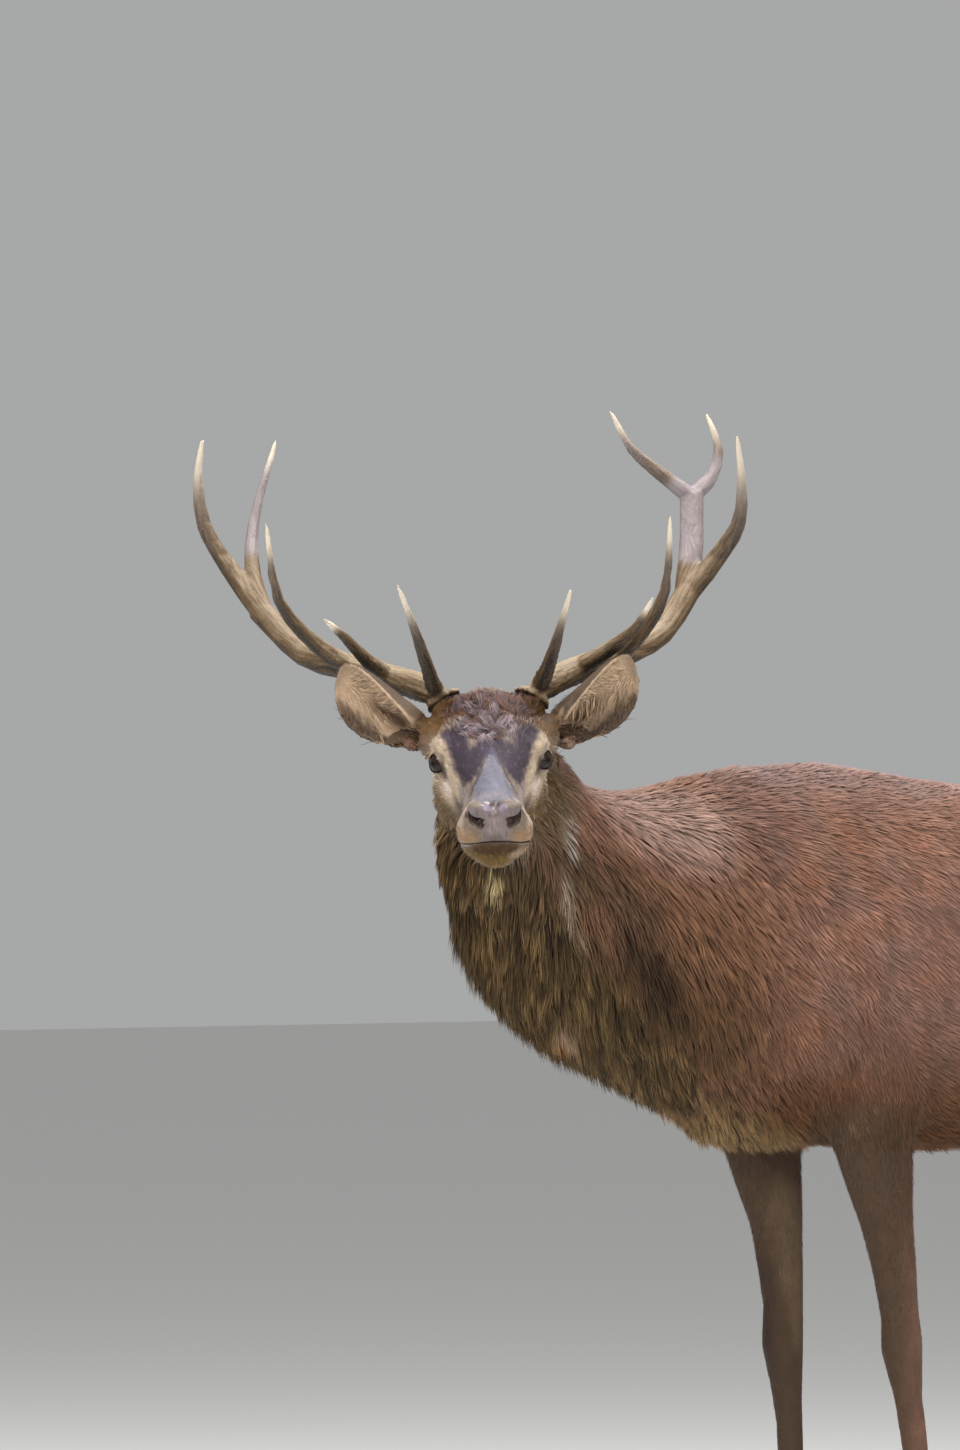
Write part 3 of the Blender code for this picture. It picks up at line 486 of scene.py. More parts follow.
# The neck bends to the left, so both of its sides are given.
NECK_LIE = [
    Lie((0.03, -0.52, 1.32), (-0.05, 0.9, -0.30), 24, 12, 8),
    Lie((0.02, -0.42, 1.26), (-0.03, 1.0, -0.20), 34, 12, 11),
    Lie((0.00, -0.30, 1.24), (0, 1.0, -0.15), 38, 12, 12),
    Lie((0.00, -0.17, 1.26), (0, 1.0, -0.12), 32, 11, 10),
    Lie((0.12, -0.54, 1.24), (0.05, 0.55, -0.85), 26, 7, 7),
    Lie((0.10, -0.50, 1.27), (0.02, 0.75, -0.60), 26, 5, 7),
    Lie((0.13, -0.46, 1.17), (0.02, 0.48, -0.90), 46, 11, 12),
    Lie((0.13, -0.34, 1.12), (0, 0.52, -0.86), 52, 11, 13),
    Lie((0.14, -0.22, 1.08), (0, 0.58, -0.82), 40, 10, 11),
    Lie((0.14, -0.46, 1.04), (0, 0.30, -0.96), 56, 12, 15),
    Lie((0.15, -0.34, 0.97), (0, 0.35, -0.94), 56, 12, 15),
    Lie((0.15, -0.24, 0.90), (0, 0.45, -0.90), 40, 11, 12),
    Lie((0.09, -0.60, 1.13), (0, -0.05, -1.00), 40, 10, 10),
    Lie((0.09, -0.57, 1.00), (0, -0.02, -1.00), 66, 15, 20),
    Lie((0.06, -0.50, 0.90), (0, 0.15, -1.00), 66, 17, 20),
    Lie((0.04, -0.40, 0.83), (0, 0.40, -0.92), 56, 18, 17),
    Lie((0.02, -0.25, 0.76), (0, 0.70, -0.72), 48, 18, 14),
    Lie((0.05, -0.63, 1.10), (0, -0.12, -1.00), 36, 10, 10),
    Lie((0.04, -0.60, 1.02), (0, -0.06, -1.00), 66, 15, 20),
    Lie((-0.03, -0.64, 1.15), (-0.03, 0.0, -1.00), 36, 10, 9),
    Lie((-0.04, -0.58, 1.04), (0, 0.10, -1.00), 62, 14, 17),
    Lie((-0.07, -0.50, 0.98), (0, 0.20, -1.00), 60, 13, 17),
    Lie((-0.07, -0.56, 1.20), (-0.05, 0.45, -0.90), 34, 10, 9),
    Lie((-0.11, -0.45, 1.14), (-0.02, 0.48, -0.90), 46, 11, 12),
    Lie((-0.13, -0.32, 1.08), (0, 0.52, -0.86), 50, 11, 13),
    Lie((-0.13, -0.33, 0.95), (0, 0.35, -0.94), 54, 12, 15),
    Lie((-0.14, -0.22, 0.92), (0, 0.45, -0.90), 40, 11, 12),
]
# The head, in its own frame, on the left side; the right side is the same, mirrored.
HEAD_LIE = [
    Lie((0.00, -0.235, -0.060), (0, 0.75, -0.60), 7, 22, 1.0),
    Lie((0.02, -0.190, -0.078), (0, 1.0, -0.30), 10, 22, 1.5),
    Lie((0.048, -0.215, -0.015), (0.1, 1.0, -0.20), 4.5, 10, 0.8),
    Lie((0.00, -0.190, 0.032), (0, 1.0, 0.10), 4.5, 8, 0.8),
    Lie((0.00, -0.120, 0.036), (0, 1.0, 0.15), 6, 8, 1.0),
    Lie((0.045, -0.130, -0.010), (0, 1.0, -0.10), 6, 9, 1.0),
    Lie((0.040, -0.120, -0.065), (0, 1.0, -0.35), 10, 12, 1.5),
    Lie((0.00, -0.100, -0.090), (0, 1.0, -0.30), 14, 14, 2.0),
    Lie((0.055, -0.060, 0.012), (0.1, 1.0, 0.05), 6, 9, 1.0),
    Lie((0.065, -0.050, -0.035), (0, 1.0, -0.30), 8, 10, 1.2),
    Lie((0.074, 0.000, -0.040), (0, 1.0, -0.45), 9, 10, 1.4),
    Lie((0.075, -0.002, 0.026), (0.1, 1.0, 0.10), 6, 10, 1.0),
    Lie((0.00, -0.050, 0.048), (0, 1.0, 0.30), 9, 12, 1.6),
    Lie((0.030, -0.040, 0.048), (0.2, 1.0, 0.30), 9, 14, 1.6),
    Lie((0.00, 0.010, 0.060), (0, 1.0, 0.20), 17, 20, 4.0),
    Lie((0.040, 0.010, 0.055), (0.3, 1.0, 0.30), 14, 22, 2.4),
    Lie((0.00, 0.060, 0.068), (0, 1.0, 0.10), 20, 16, 9.0),
    Lie((0.045, 0.060, 0.066), (0.3, 1.0, 0.10), 18, 16, 8.0),
    Lie((0.00, 0.120, 0.062), (0, 1.0, -0.40), 22, 16, 9.0),
    Lie((0.075, 0.060, 0.020), (0.2, 1.0, 0.10), 9, 10, 1.5),
    Lie((0.072, 0.100, 0.045), (0.3, 0.6, 0.60), 9, 10, 1.0),
    Lie((0.085, 0.050, -0.030), (0.1, 1.0, -0.60), 17, 11, 2.0),
    Lie((0.080, 0.020, -0.085), (0, 0.9, -0.70), 14, 12, 2.5),
    Lie((0.060, -0.030, -0.090), (0, 1.0, -0.55), 12, 12, 2.0),
    Lie((0.00, 0.000, -0.130), (0, 1.0, -0.60), 34, 14, 5.0),
    Lie((0.100, 0.095, -0.050), (0.05, 0.7, -0.80), 26, 5, 4.0),
    Lie((0.075, 0.050, -0.115), (0, 0.5, -0.95), 46, 13, 8.0),
    Lie((0.080, 0.130, 0.000), (0.05, 0.8, -0.50), 20, 6, 4.0),
]


def flipped(place):
    """The same place, or direction, on the animal's other side."""
    return (-place[0], *place[1:])


def mirrored(rows):
    return rows + [
        row._replace(place=flipped(row.place), way=flipped(row.way)) for row in rows
    ]


def lie_table():
    """All the places above in the world: places, ways, and length, lift and depth."""
    places, ways, numbers = [], [], []
    for matrix, rows in (
        (BODY, mirrored(BODY_LIE)), (BODY, NECK_LIE), (HEAD, mirrored(HEAD_LIE))
    ):
        places.append(out_of(matrix, np.array([row.place for row in rows])))
        ways.append(np.array([row.way for row in rows]) @ array(matrix)[:3, :3].T)
        numbers.append(np.array([(row.length, row.lift, row.depth) for row in rows]))
    return np.vstack(places), unit(np.vstack(ways)), np.vstack(numbers)


LIE_PLACES, LIE_WAYS, LIE_NUMBERS = lie_table()
LIE_ON_HEAD = np.arange(len(LIE_PLACES)) >= len(LIE_PLACES) - 2 * len(HEAD_LIE)
HEAD_SETBACK = 0.012  # the head's rows are close together, and count as this much farther
LIE_BLEND, LIE_POWER = 0.01, 5  # how wide and how sharp the blend between rows is
BATCH = 20000  # points worked out at one time


def coat_lie(points):
    """Way, length, lift and depth of the coat at each point, blended from the nearest rows."""
    ways = np.empty_like(points)
    numbers = np.empty((len(points), 3))
    for first in range(0, len(points), BATCH):
        part = slice(first, first + BATCH)
        apart = np.linalg.norm(points[part, None] - LIE_PLACES[None], axis=2)
        apart[:, LIE_ON_HEAD] += HEAD_SETBACK
        weight = 1 / (apart + LIE_BLEND) ** LIE_POWER
        weight /= weight.sum(1, keepdims=True)
        ways[part] = weight @ LIE_WAYS
        numbers[part] = weight @ LIE_NUMBERS
    return unit(ways), numbers[:, 0] / 1000, np.radians(numbers[:, 1]), numbers[:, 2] / 1000


# ------------------------------------------------------------------ markings and painted light

# A patch of colour: its path as (x, y, z, radius) stations, and how soft its edge is. A patch is
# mirrored onto the other side unless it is one-sided.
Patch = namedtuple("Patch", "colour path edge one_sided", defaults=(0.35, False))

COAT_BASE = (0.210, 0.103, 0.067)
BODY_PATCHES = [
    # Painted highlight: the back's top made paler, as where light falls on it from above.
    Patch((0.205, 0.130, 0.113), [(0, -0.1, 1.29, 0.08), (0, 1.0, 1.25, 0.09)], 0.9),
    Patch((0.228, 0.121, 0.089), [(0.2, 0.1, 0.98, 0.14), (0.2, 0.6, 1.0, 0.16)], 0.9),
    Patch((0.090, 0.036, 0.012), [(0.10, -0.1, 0.71, 0.13), (0.12, 0.6, 0.71, 0.12)], 0.8),
    Patch((0.150, 0.082, 0.048), [(0.02, 0.60, 0.73, 0.06), (0.03, 0.80, 0.74, 0.08)], 0.9),
    Patch((0.085, 0.046, 0.024), [(0.12, 0.90, 0.66, 0.09), (0.12, 0.95, 0.0, 0.09)], 0.5),
    Patch((0.075, 0.041, 0.022), [(0.12, 0.02, 0.68, 0.09), (0.12, 0.07, 0.0, 0.09)], 0.5),
    Patch((0.190, 0.125, 0.070), [(0.03, 0.04, 0.60, 0.05), (0.05, 0.08, 0.42, 0.03)], 0.6),
    Patch((0.190, 0.125, 0.070), [(0.05, 0.86, 0.60, 0.04), (0.07, 0.90, 0.48, 0.03)], 0.6),
    Patch((0.040, 0.022, 0.013), [(0.11, 0.0, 0.50, 0.03), (0.11, 0.03, 0.12, 0.025)], 0.6),
    Patch((0.048, 0.026, 0.015), [(0.12, 0.90, 0.10, 0.05), (0.11, 0.03, 0.10, 0.05)], 0.6),
    Patch((0.430, 0.300, 0.185), [(0.02, 1.03, 1.17, 0.045), (0.04, 1.05, 1.08, 0.075),
                                  (0.055, 1.05, 0.97, 0.070)], 0.55),
    Patch((0.300, 0.150, 0.070), [(0, 1.09, 1.15, 0.035), (0, 1.13, 0.95, 0.035)], 0.5),
    # Painted highlight: the top of the neck made pale pink, as where light falls on it from above.
    Patch((0.330, 0.208, 0.165), [(0.03, -0.47, 1.26, 0.05), (0.06, -0.36, 1.21, 0.068),
                                  (0.08, -0.27, 1.18, 0.055)], 0.8),
    Patch((0.165, 0.086, 0.064), [(0.05, -0.17, 1.235, 0.036), (0.10, -0.14, 1.17, 0.042)], 0.95),
    Patch((0.190, 0.092, 0.050), [(0.12, -0.46, 1.10, 0.06), (0.14, -0.3, 0.99, 0.12)], 0.6),
    Patch((0.100, 0.048, 0.020), [(0.14, -0.42, 0.96, 0.07), (0.14, -0.26, 0.86, 0.08)], 0.8),
    Patch((0.190, 0.116, 0.050), [(0.03, -0.2, 0.74, 0.06), (0.02, -0.08, 0.70, 0.05)], 0.7),
    Patch((0.074, 0.042, 0.015), [(0.0, -0.64, 1.12, 0.10), (0.03, -0.58, 1.00, 0.13),
                                  (0.04, -0.48, 0.89, 0.13), (0.02, -0.34, 0.82, 0.10)],
          0.25, True),
    Patch((0.105, 0.055, 0.032), [(0.137, -0.461, 1.12, 0.040), (0.143, -0.41, 1.07, 0.040)], 0.8),
    # Painted shadow: a deep dark streak in the fold between the neck and the left shoulder.
    Patch((0.022, 0.011, 0.005), [(0.142, -0.45, 1.055, 0.014), (0.144, -0.395, 1.00, 0.028),
                                  (0.138, -0.345, 0.92, 0.024)], 0.95, True),
    Patch((0.078, 0.045, 0.020), [(0.085, -0.60, 1.14, 0.045), (0.105, -0.58, 1.07, 0.045)], 0.7),
    Patch((0.095, 0.056, 0.028), [(0.123, -0.544, 1.162, 0.024), (0.131, -0.512, 1.118, 0.022)],
          0.7, True),
    Patch((0.016, 0.010, 0.006), [(0.106, -0.370, 1.163, 0.008), (0.112, -0.358, 1.153, 0.007)],
          0.5, True),
    Patch((0.380, 0.270, 0.200), [(0.119, -0.532, 1.285, 0.022), (0.123, -0.505, 1.250, 0.016)],
          0.8, True),
    Patch((0.420, 0.360, 0.320), [(0.117, -0.541, 1.235, 0.014), (0.121, -0.537, 1.20, 0.009),
                                  (0.124, -0.532, 1.15, 0.005)], 0.8, True),
    Patch((0.300, 0.225, 0.160), [(0.118, -0.535, 1.12, 0.008), (0.125, -0.515, 1.02, 0.012)],
          0.8, True),
    Patch((0.400, 0.310, 0.160), [(0.065, -0.620, 1.125, 0.010), (0.064, -0.625, 1.07, 0.014),
                                  (0.060, -0.620, 1.02, 0.010)], 0.5, True),
    Patch((0.420, 0.280, 0.190), [(0.060, -0.500, 0.893, 0.020), (0.066, -0.49, 0.880, 0.018)],
          0.5, True),
    Patch((0.300, 0.135, 0.045), [(0.035, -0.505, 0.885, 0.020), (0.045, -0.49, 0.868, 0.018)],
          0.5, True),
]
HEAD_PATCHES = [
    Patch((0.215, 0.160, 0.120), [(0, 0.13, -0.01, 0.11), (0, 0, -0.03, 0.11),
                                  (0, -0.2, -0.02, 0.09)], 0.10),
    Patch((0.150, 0.095, 0.045), [(0.075, 0.06, -0.07, 0.05), (0.06, -0.06, -0.08, 0.04)], 0.6),
    Patch((0.115, 0.058, 0.016), [(0.078, 0.085, 0.03, 0.035), (0.085, 0.10, 0.0, 0.030)], 0.5),
    Patch((0.480, 0.360, 0.240), [(0.078, 0.03, -0.02, 0.026), (0.074, -0.01, -0.036, 0.024),
                                  (0.064, -0.055, -0.028, 0.021)], 0.5),
    Patch((0.640, 0.520, 0.450), [(0.068, -0.046, -0.022, 0.011), (0.062, -0.060, -0.022, 0.009)],
          0.8),
    Patch((0.505, 0.388, 0.272), [(0.081, 0.030, 0.018, 0.019), (0.072, 0.000, 0.030, 0.013),
                                  (0.061, -0.045, 0.010, 0.012), (0.052, -0.100, -0.014, 0.014)],
          0.5),
    Patch((0.300, 0.235, 0.215), [(0.050, -0.110, -0.004, 0.014), (0.046, -0.150, -0.008, 0.014)],
          0.7),
    Patch((0.110, 0.078, 0.060), [(0.052, -0.100, -0.036, 0.014), (0.050, -0.150, -0.034, 0.016)],
          0.6),
    Patch((0.105, 0.078, 0.088), [(0.0, -0.022, 0.053, 0.022), (0.045, -0.006, 0.052, 0.016)],
          0.6),
    Patch((0.040, 0.026, 0.039), [(0.068, 0.020, 0.041, 0.009), (0.052, -0.020, 0.042, 0.015),
                                  (0.040, -0.060, 0.030, 0.022), (0.036, -0.104, 0.016, 0.014)],
          0.50),
    Patch((0.040, 0.026, 0.039), [(0.0, -0.042, 0.050, 0.014), (0.015, -0.064, 0.045, 0.017),
                                  (0.023, -0.090, 0.034, 0.018),
                                  (0.031, -0.112, 0.024, 0.012)], 0.45),
    Patch((0.088, 0.056, 0.054), [(0.0, 0.030, 0.066, 0.038), (0.03, 0.080, 0.068, 0.048)], 0.4),
    Patch((0.140, 0.070, 0.020), [(0.077, 0.066, 0.036, 0.017), (0.070, 0.090, 0.058, 0.018)], 0.7),
    # Painted shadow of the antler on the left temple.
    Patch((0.062, 0.029, 0.009), [(0.083, 0.078, 0.026, 0.017), (0.074, 0.094, 0.052, 0.018)],
          0.8, True),
    Patch((0.060, 0.056, 0.095), [(0, -0.066, 0.046, 0.005), (0, -0.090, 0.040, 0.007)], 0.7),
    Patch((0.150, 0.144, 0.178), [(0, -0.086, 0.042, 0.004), (0, -0.112, 0.036, 0.012),
                                  (0, -0.142, 0.030, 0.022), (0, -0.165, 0.024, 0.032),
                                  (0, -0.200, 0.022, 0.034)], 0.25),
    Patch((0.060, 0.048, 0.056), [(0.012, -0.100, 0.036, 0.003), (0.022, -0.136, 0.025, 0.0035),
                                  (0.034, -0.158, 0.008, 0.003)], 0.9),
    Patch((0.470, 0.360, 0.290), [(0.036, -0.204, 0.024, 0.009), (0.047, -0.204, 0.010, 0.013),
                                  (0.053, -0.210, -0.012, 0.016), (0.048, -0.222, -0.028, 0.013)],
          0.55),
    Patch((0.190, 0.168, 0.190), [(0.000, -0.214, 0.034, 0.015), (0.016, -0.212, 0.031, 0.012)],
          0.7),
    Patch((0.320, 0.195, 0.100), [(0.050, -0.214, -0.030, 0.012), (0.034, -0.234, -0.028, 0.010)],
          0.6),
    Patch((0.150, 0.086, 0.020), [(0.0, -0.225, -0.066, 0.024), (0.030, -0.222, -0.056, 0.014),
                                  (0.040, -0.190, -0.064, 0.014), (0.02, -0.18, -0.080, 0.026)],
          0.5),
    Patch((0.330, 0.225, 0.150), [(0.032, -0.222, -0.060, 0.012), (0.048, -0.196, -0.062, 0.014)],
          0.7, True),
    # The lower lip: its dark yellow-brown deepened by painted shade under the upper lip.
    Patch((0.062, 0.027, 0.003), [(0.0, -0.236, -0.048, 0.014), (0.023, -0.230, -0.047, 0.011)],
          0.4),
    Patch((0.120, 0.076, 0.058), [(0.073, -0.022, 0.002, 0.009), (0.067, -0.038, -0.004, 0.008)],
          0.9),
    Patch((0.040, 0.022, 0.018), [(0.075, -0.018, -0.002, 0.005), (0.071, -0.026, -0.006, 0.003)],
          0.8),
]
# Tones of the bare nose: a painted highlight on the shining lobes, painted shade in the notch
# between them, and the middle and the foot.
PAD_TONES_AND_PAINTED_LIGHT = [
    ((0.270, 0.240, 0.310), [(0.013, -0.245, 0.019, 0.007), (0.033, -0.240, 0.020, 0.007)]),
    ((0.026, 0.018, 0.024), [(0.000, -0.236, 0.025, 0.008)]),
    ((0.200, 0.155, 0.150), [(0.000, -0.247, 0.000, 0.011), (0.000, -0.247, -0.012, 0.014)]),
    ((0.085, 0.056, 0.046), [(0.000, -0.242, -0.032, 0.010)]),
]
# The bare nose: its pad, and the strip that runs down from it to the lips.
NOSE_PAD = [(0.0, -0.240, 0.012, 0.017), (0.023, -0.242, 0.010, 0.017)]
NOSE_LIP = [(0.0, -0.246, -0.009, 0.0265), (0.0, -0.244, -0.020, 0.020),
            (0.0, -0.242, -0.034, 0.011)]
PAD_COLOUR = (0.115, 0.080, 0.072)
RIM_COLOUR = (0.016, 0.011, 0.009)


def drawn_to(colours, tone, share):
    """The colours taken towards one tone, each by its own share."""
    return colours + (np.array(tone) - colours) * share


def reach(points, path, mirror=False):
    """How far each point is from a path of (x, y, z, radius) stations, in radii."""
    stations = np.array(path, float)
    if mirror:
        stations = stations * (-1, 1, 1, 1)
    if len(stations) == 1:
        stations = np.vstack([stations, stations + 1e-6])
    least = np.full(len(points), np.inf)
    for start, end in zip(stations[:-1], stations[1:]):
        run = end[:3] - start[:3]
        share = np.clip(((points - start[:3]) @ run) / max(run @ run, 1e-12), 0, 1)
        apart = np.linalg.norm(points - start[:3] - share[:, None] * run, axis=1)
        least = np.minimum(least, apart / (start[3] + share * (end[3] - start[3])))
    return least


def both_sides(points, path):
    return np.minimum(reach(points, path), reach(points, path, True))


def eye_axes(side):
    """An eye's outward, forward and upward directions in the head's frame."""
    out = Vector((side * 0.80, -0.58, 0.12)).normalized()
    ahead = Vector((0, -1, -0.24))
    ahead = (ahead - out * ahead.dot(out)).normalized()
    up = out.cross(ahead) if side < 0 else ahead.cross(out)
    return out, ahead, up


EYES_IN_HEAD = {side: HEAD.inverted() @ EYES[side] for side in SIDES}
LID_LENGTH, LID_HEIGHT = 0.0166, 0.0126  # half of the opening between the lids
LID_NARROWING = 0.30  # how much lower the opening is at its front corner


def eye_opening(points, side):
    """How far outside the opening between the lids each point is: 1 on its edge."""
    out, ahead, up = eye_axes(side)
    apart = points - np.array(EYES_IN_HEAD[side])
    along, rise, deep = (apart @ np.array(way) for way in (ahead, up, out))
    height = LID_HEIGHT * (1 - LID_NARROWING * np.clip(along / LID_LENGTH, 0, 1))
    inside = np.hypot(along / LID_LENGTH, rise / height)
    return np.where(deep > 0, inside, 9.0)


EAR_BASE, EAR_TIP = Vector((0.096, 0.094, 0.012)), Vector((0.230, 0.156, 0.080))  # the left
EAR_LENGTH = (EAR_BASE - EAR_TIP).length


def ear_matrix(side):
    """An ear's frame: Z runs from base to tip, and -Y is the way it opens."""
    mirror = Vector((side, 1, 1))
    base, tip = EAR_BASE * mirror, EAR_TIP * mirror
    along = (tip - base).normalized()
    opens = Vector((side * 0.05, -1.0, -0.30))
    opens = (opens - along * opens.dot(along)).normalized()
    across = (-opens).cross(along)
    turned = Matrix((across, -opens, along)).transposed().to_4x4()
    return HEAD @ Matrix.Translation(base) @ turned


EAR_BACK_FOOT, EAR_BACK_TIP = (0.120, 0.072, 0.040), (0.062, 0.040, 0.027)
EAR_INSIDE, EAR_HOLLOW = (0.540, 0.378, 0.245), (0.100, 0.052, 0.022)
EAR_EDGE, EAR_POINT, EAR_RIM = (0.060, 0.032, 0.016), (0.130, 0.088, 0.058), (0.066, 0.043, 0.029)


def ear_colours(points, normals, side):
    """The ear is pale inside with a brown hollow and a dark lower edge, and brown behind."""
    local = into(ear_matrix(side), points)
    facing = (normals @ array(ear_matrix(side))[:3, :3])[:, 1]
    along, lower = local[:, 2], local[:, 0] * side  # towards the tip, and the lower edge
    share = (along / EAR_LENGTH)[:, None]
    back = np.array(EAR_BACK_FOOT) * (1 - share) + np.array(EAR_BACK_TIP) * share
    inner = np.tile(np.array(EAR_INSIDE), (len(points), 1))
    waver = ripple(points, 0.012, 5)
    hollow = np.exp(-(((lower - 0.015) / 0.0100) ** 2)) * smoothstep(0.020, 0.040, along)
    hollow *= 1 - smoothstep(0.070, 0.110, along + 0.006 * waver)
    edge = smoothstep(0.026, 0.044, lower + 0.004 * waver) * smoothstep(0.036, 0.062, along)
    tip = 0.5 * smoothstep(0.140, 0.160, along)
    rim = 0.88 * (1 - smoothstep(0.05, 0.60, np.abs(facing)))
    for tone, much in (
        (EAR_HOLLOW, np.clip(hollow * (0.95 + 0.2 * waver), 0, 1)), (EAR_EDGE, edge * 0.90),
        (EAR_POINT, tip), (EAR_RIM, rim),
    ):
        inner = drawn_to(inner, tone, much[:, None])
    inside = smoothstep(-0.15, 0.25, -facing)[:, None]
    return inner * inside + back * (1 - inside)


HEAD_OWNERS = [FLESH.index(node) for node in ("head", *EARS)]


def markings_and_painted_light(points, normals, owners):
    """The coat's colour at each point, with painted highlights and shadows among its patches. Skin
    and hair both wear it.
    """
    body, head = into(BODY, points), into(HEAD, points)
    waver = 1 + 0.10 * ripple(points, 0.05, 3) + 0.06 * ripple(points, 0.015, 4)
    streak = ripple(head * (1, 0.20, 0.7), 0.0040, 6) + 0.6 * ripple(head * (1, 0.4, 1), 0.010, 8)
    streaked = waver + 0.22 * streak
    colours = np.tile(np.array(COAT_BASE), (len(points), 1))
    for local, patches in ((body, BODY_PATCHES), (head, HEAD_PATCHES)):
        for patch in patches:
            measure = reach if patch.one_sided else both_sides
            apart = measure(local, patch.path) * (streaked if local is head else waver)
            share = 1 - smoothstep(1 - patch.edge, 1 + patch.edge, apart)
            if local is head:  # the face's colours stay off the neck behind it
                share = share * np.isin(owners, HEAD_OWNERS)
            colours = drawn_to(colours, patch.colour, share[:, None])
    on_head = np.isin(owners, HEAD_OWNERS)[:, None]
    colours *= np.exp(0.13 * streak[:, None] * on_head)
    for side, node in zip(SIDES, EARS):
        mine = owners == FLESH.index(node)
        if mine.any():
            blend = smoothstep(0.0, 0.03, into(ear_matrix(side), points[mine])[:, 2])[:, None]
            ear = ear_colours(points[mine], normals[mine], side)
            colours[mine] = drawn_to(colours[mine], ear, blend)
    return colours


def bare(points):
    """Where no hair grows: 1 on the nose pad, the lids' rims and the eyes, else 0."""
    local = into(HEAD, points)
    nose = np.minimum(both_sides(local, NOSE_PAD), reach(local, NOSE_LIP))
    found = 1 - smoothstep(0.96, 1.08, nose)
    lips = both_sides(local, [(x, y, z - 0.001, 0.0042) for x, y, z in MOUTH[:5]])
    found = np.maximum(found, 1 - smoothstep(0.9, 1.2, lips))
    for side in SIDES:
        found = np.maximum(found, 1 - smoothstep(1.06, 1.22, eye_opening(local, side)))
    return found


# ------------------------------------------------------------------ skin

NECK_SEAM = Vector((0, 0.0, -0.205))  # where the fine skin of the head meets the rest
NECK_SEAM_WAY = Vector((0, 0.765, -0.645))
HEAD_VOXEL, BODY_VOXEL = 0.003, 0.008
TRUNK_FOOT, TRUNK_FULL = 0.60, 0.74  # heights between which a leg turns into trunk
EAR_FOOT, EAR_BREADTH = 0.012, 0.09  # where an ear begins, and the most of half its breadth
EAR_SINK = 0.0005  # how deep its skin lies under its hair
SEAM_NEAR, SEAM_FAR = 0.006, 0.03  # the neck's seam is evened out fully, and fading out, to here
MUZZLE, EYE_SOCKET = -0.198, 0.031  # ahead of the one and within the other the skin is finer


def parted(piece, side, gap=0.002):
    """Cuts a piece at the neck's seam and keeps its head side (-1) or its body side (1)."""
    turned = HEAD.to_3x3()
    way = turned @ NECK_SEAM_WAY
    shape = bmesh.new()
    shape.from_mesh(piece.data)
    everything = [*shape.verts, *shape.edges, *shape.faces]
    bmesh.ops.bisect_plane(
        shape, geom=everything, dist=1e-6, plane_co=HEAD @ NECK_SEAM + way * side * gap,
        plane_no=way, clear_outer=side < 0, clear_inner=side > 0,
    )
    shape.to_mesh(piece.data)
    shape.free()


def body_skin():
    flesh = [node for node in FLESH if node not in EARS]
    piece = melted("body_skin", [*flesh, "eye_left", "eye_right"], BODY_VOXEL)
    parted(piece, 1)
    points = points_of(piece)
    local = into(BODY, points)
    trunk = smoothstep(TRUNK_FOOT, TRUNK_FULL, local[:, 2])
    points = softened(points, edges_of(piece), 12, 0.35 + 0.65 * trunk)
    place_points(piece, points)
    sink = coat_lie(points)[3]
    place_points(piece, points - normals_of(piece) * sink[:, None])
    group = piece.vertex_groups.new(name="trunk")
    edge = reach(into(HEAD, points), [(*NECK_SEAM, 0.2), (0, 0.2, 0.04, 0.2)]) > 0.85
    group.add(np.flatnonzero((trunk > 0.9) & edge).tolist(), 1.0, "REPLACE")
    apply(piece, "DECIMATE", ratio=0.5, vertex_group="trunk", vertex_group_factor=1.0)
    piece.vertex_groups.clear()
    return piece


# Forms of the face in the head's frame: place, radii and how far they rise, in metres.
FACE_FORMS = [
    ((0.0265, -0.242, 0.014), (0.013, 0.012, 0.010), 0.0030),  # lobe over each nostril
    ((0.041, -0.226, -0.004), (0.014, 0.018, 0.016), 0.0022),  # wing beside it
    ((0.034, -0.226, -0.028), (0.018, 0.020, 0.012), 0.0030),  # upper lip
    ((0.000, -0.240, 0.024), (0.009, 0.018, 0.012), -0.0072),  # notch over the nose pad
    ((0.000, -0.246, -0.012), (0.0022, 0.02, 0.016), -0.0016),  # groove down the nose pad
    ((0.000, -0.232, -0.056), (0.020, 0.016, 0.010), 0.0030),  # lower lip
    ((0.068, -0.004, 0.027), (0.014, 0.026, 0.008), 0.0040),  # brow
    ((0.066, -0.050, -0.022), (0.014, 0.030, 0.012), 0.0028),  # cheek bone
    ((0.080, 0.040, -0.020), (0.014, 0.030, 0.010), 0.0022),  # end of the cheek bone
    ((0.056, -0.075, -0.012), (0.012, 0.030, 0.008), -0.0016),  # hollow before it
    ((0.046, -0.105, -0.055), (0.014, 0.045, 0.014), -0.0020),  # hollow over the jaw
    ((0.122, 0.102, -0.040), (0.032, 0.050, 0.040), -0.0250),  # hollow behind the jaw
]
# Furrows of the face: a path with its radius at each station, and how deep it is. Ridges are
# furrows less than nothing deep.
FACE_FURROWS = [
    ([(0.0670, -0.028, -0.002, 0.0030), (0.0625, -0.043, -0.007, 0.0036)],
     0.0026),  # tear pit in front of the eye
    ([(0.0700, -0.020, 0.0185, 0.0022), (0.0760, 0.003, 0.0205, 0.0024),
      (0.0810, 0.022, 0.015, 0.0020)], 0.0012),  # fold over the upper lid
    ([(0.0125, -0.246, 0.0150, 0.0065), (0.0220, -0.246, 0.0200, 0.0080),
      (0.0325, -0.240, 0.0190, 0.0065)], -0.0060),  # lobe over the nostril
    ([(0.0150, -0.248, 0.0020, 0.0030), (0.0215, -0.247, -0.0050, 0.0035),
      (0.0290, -0.243, -0.0110, 0.0030)], -0.0018),  # lower rim of the nostril
]
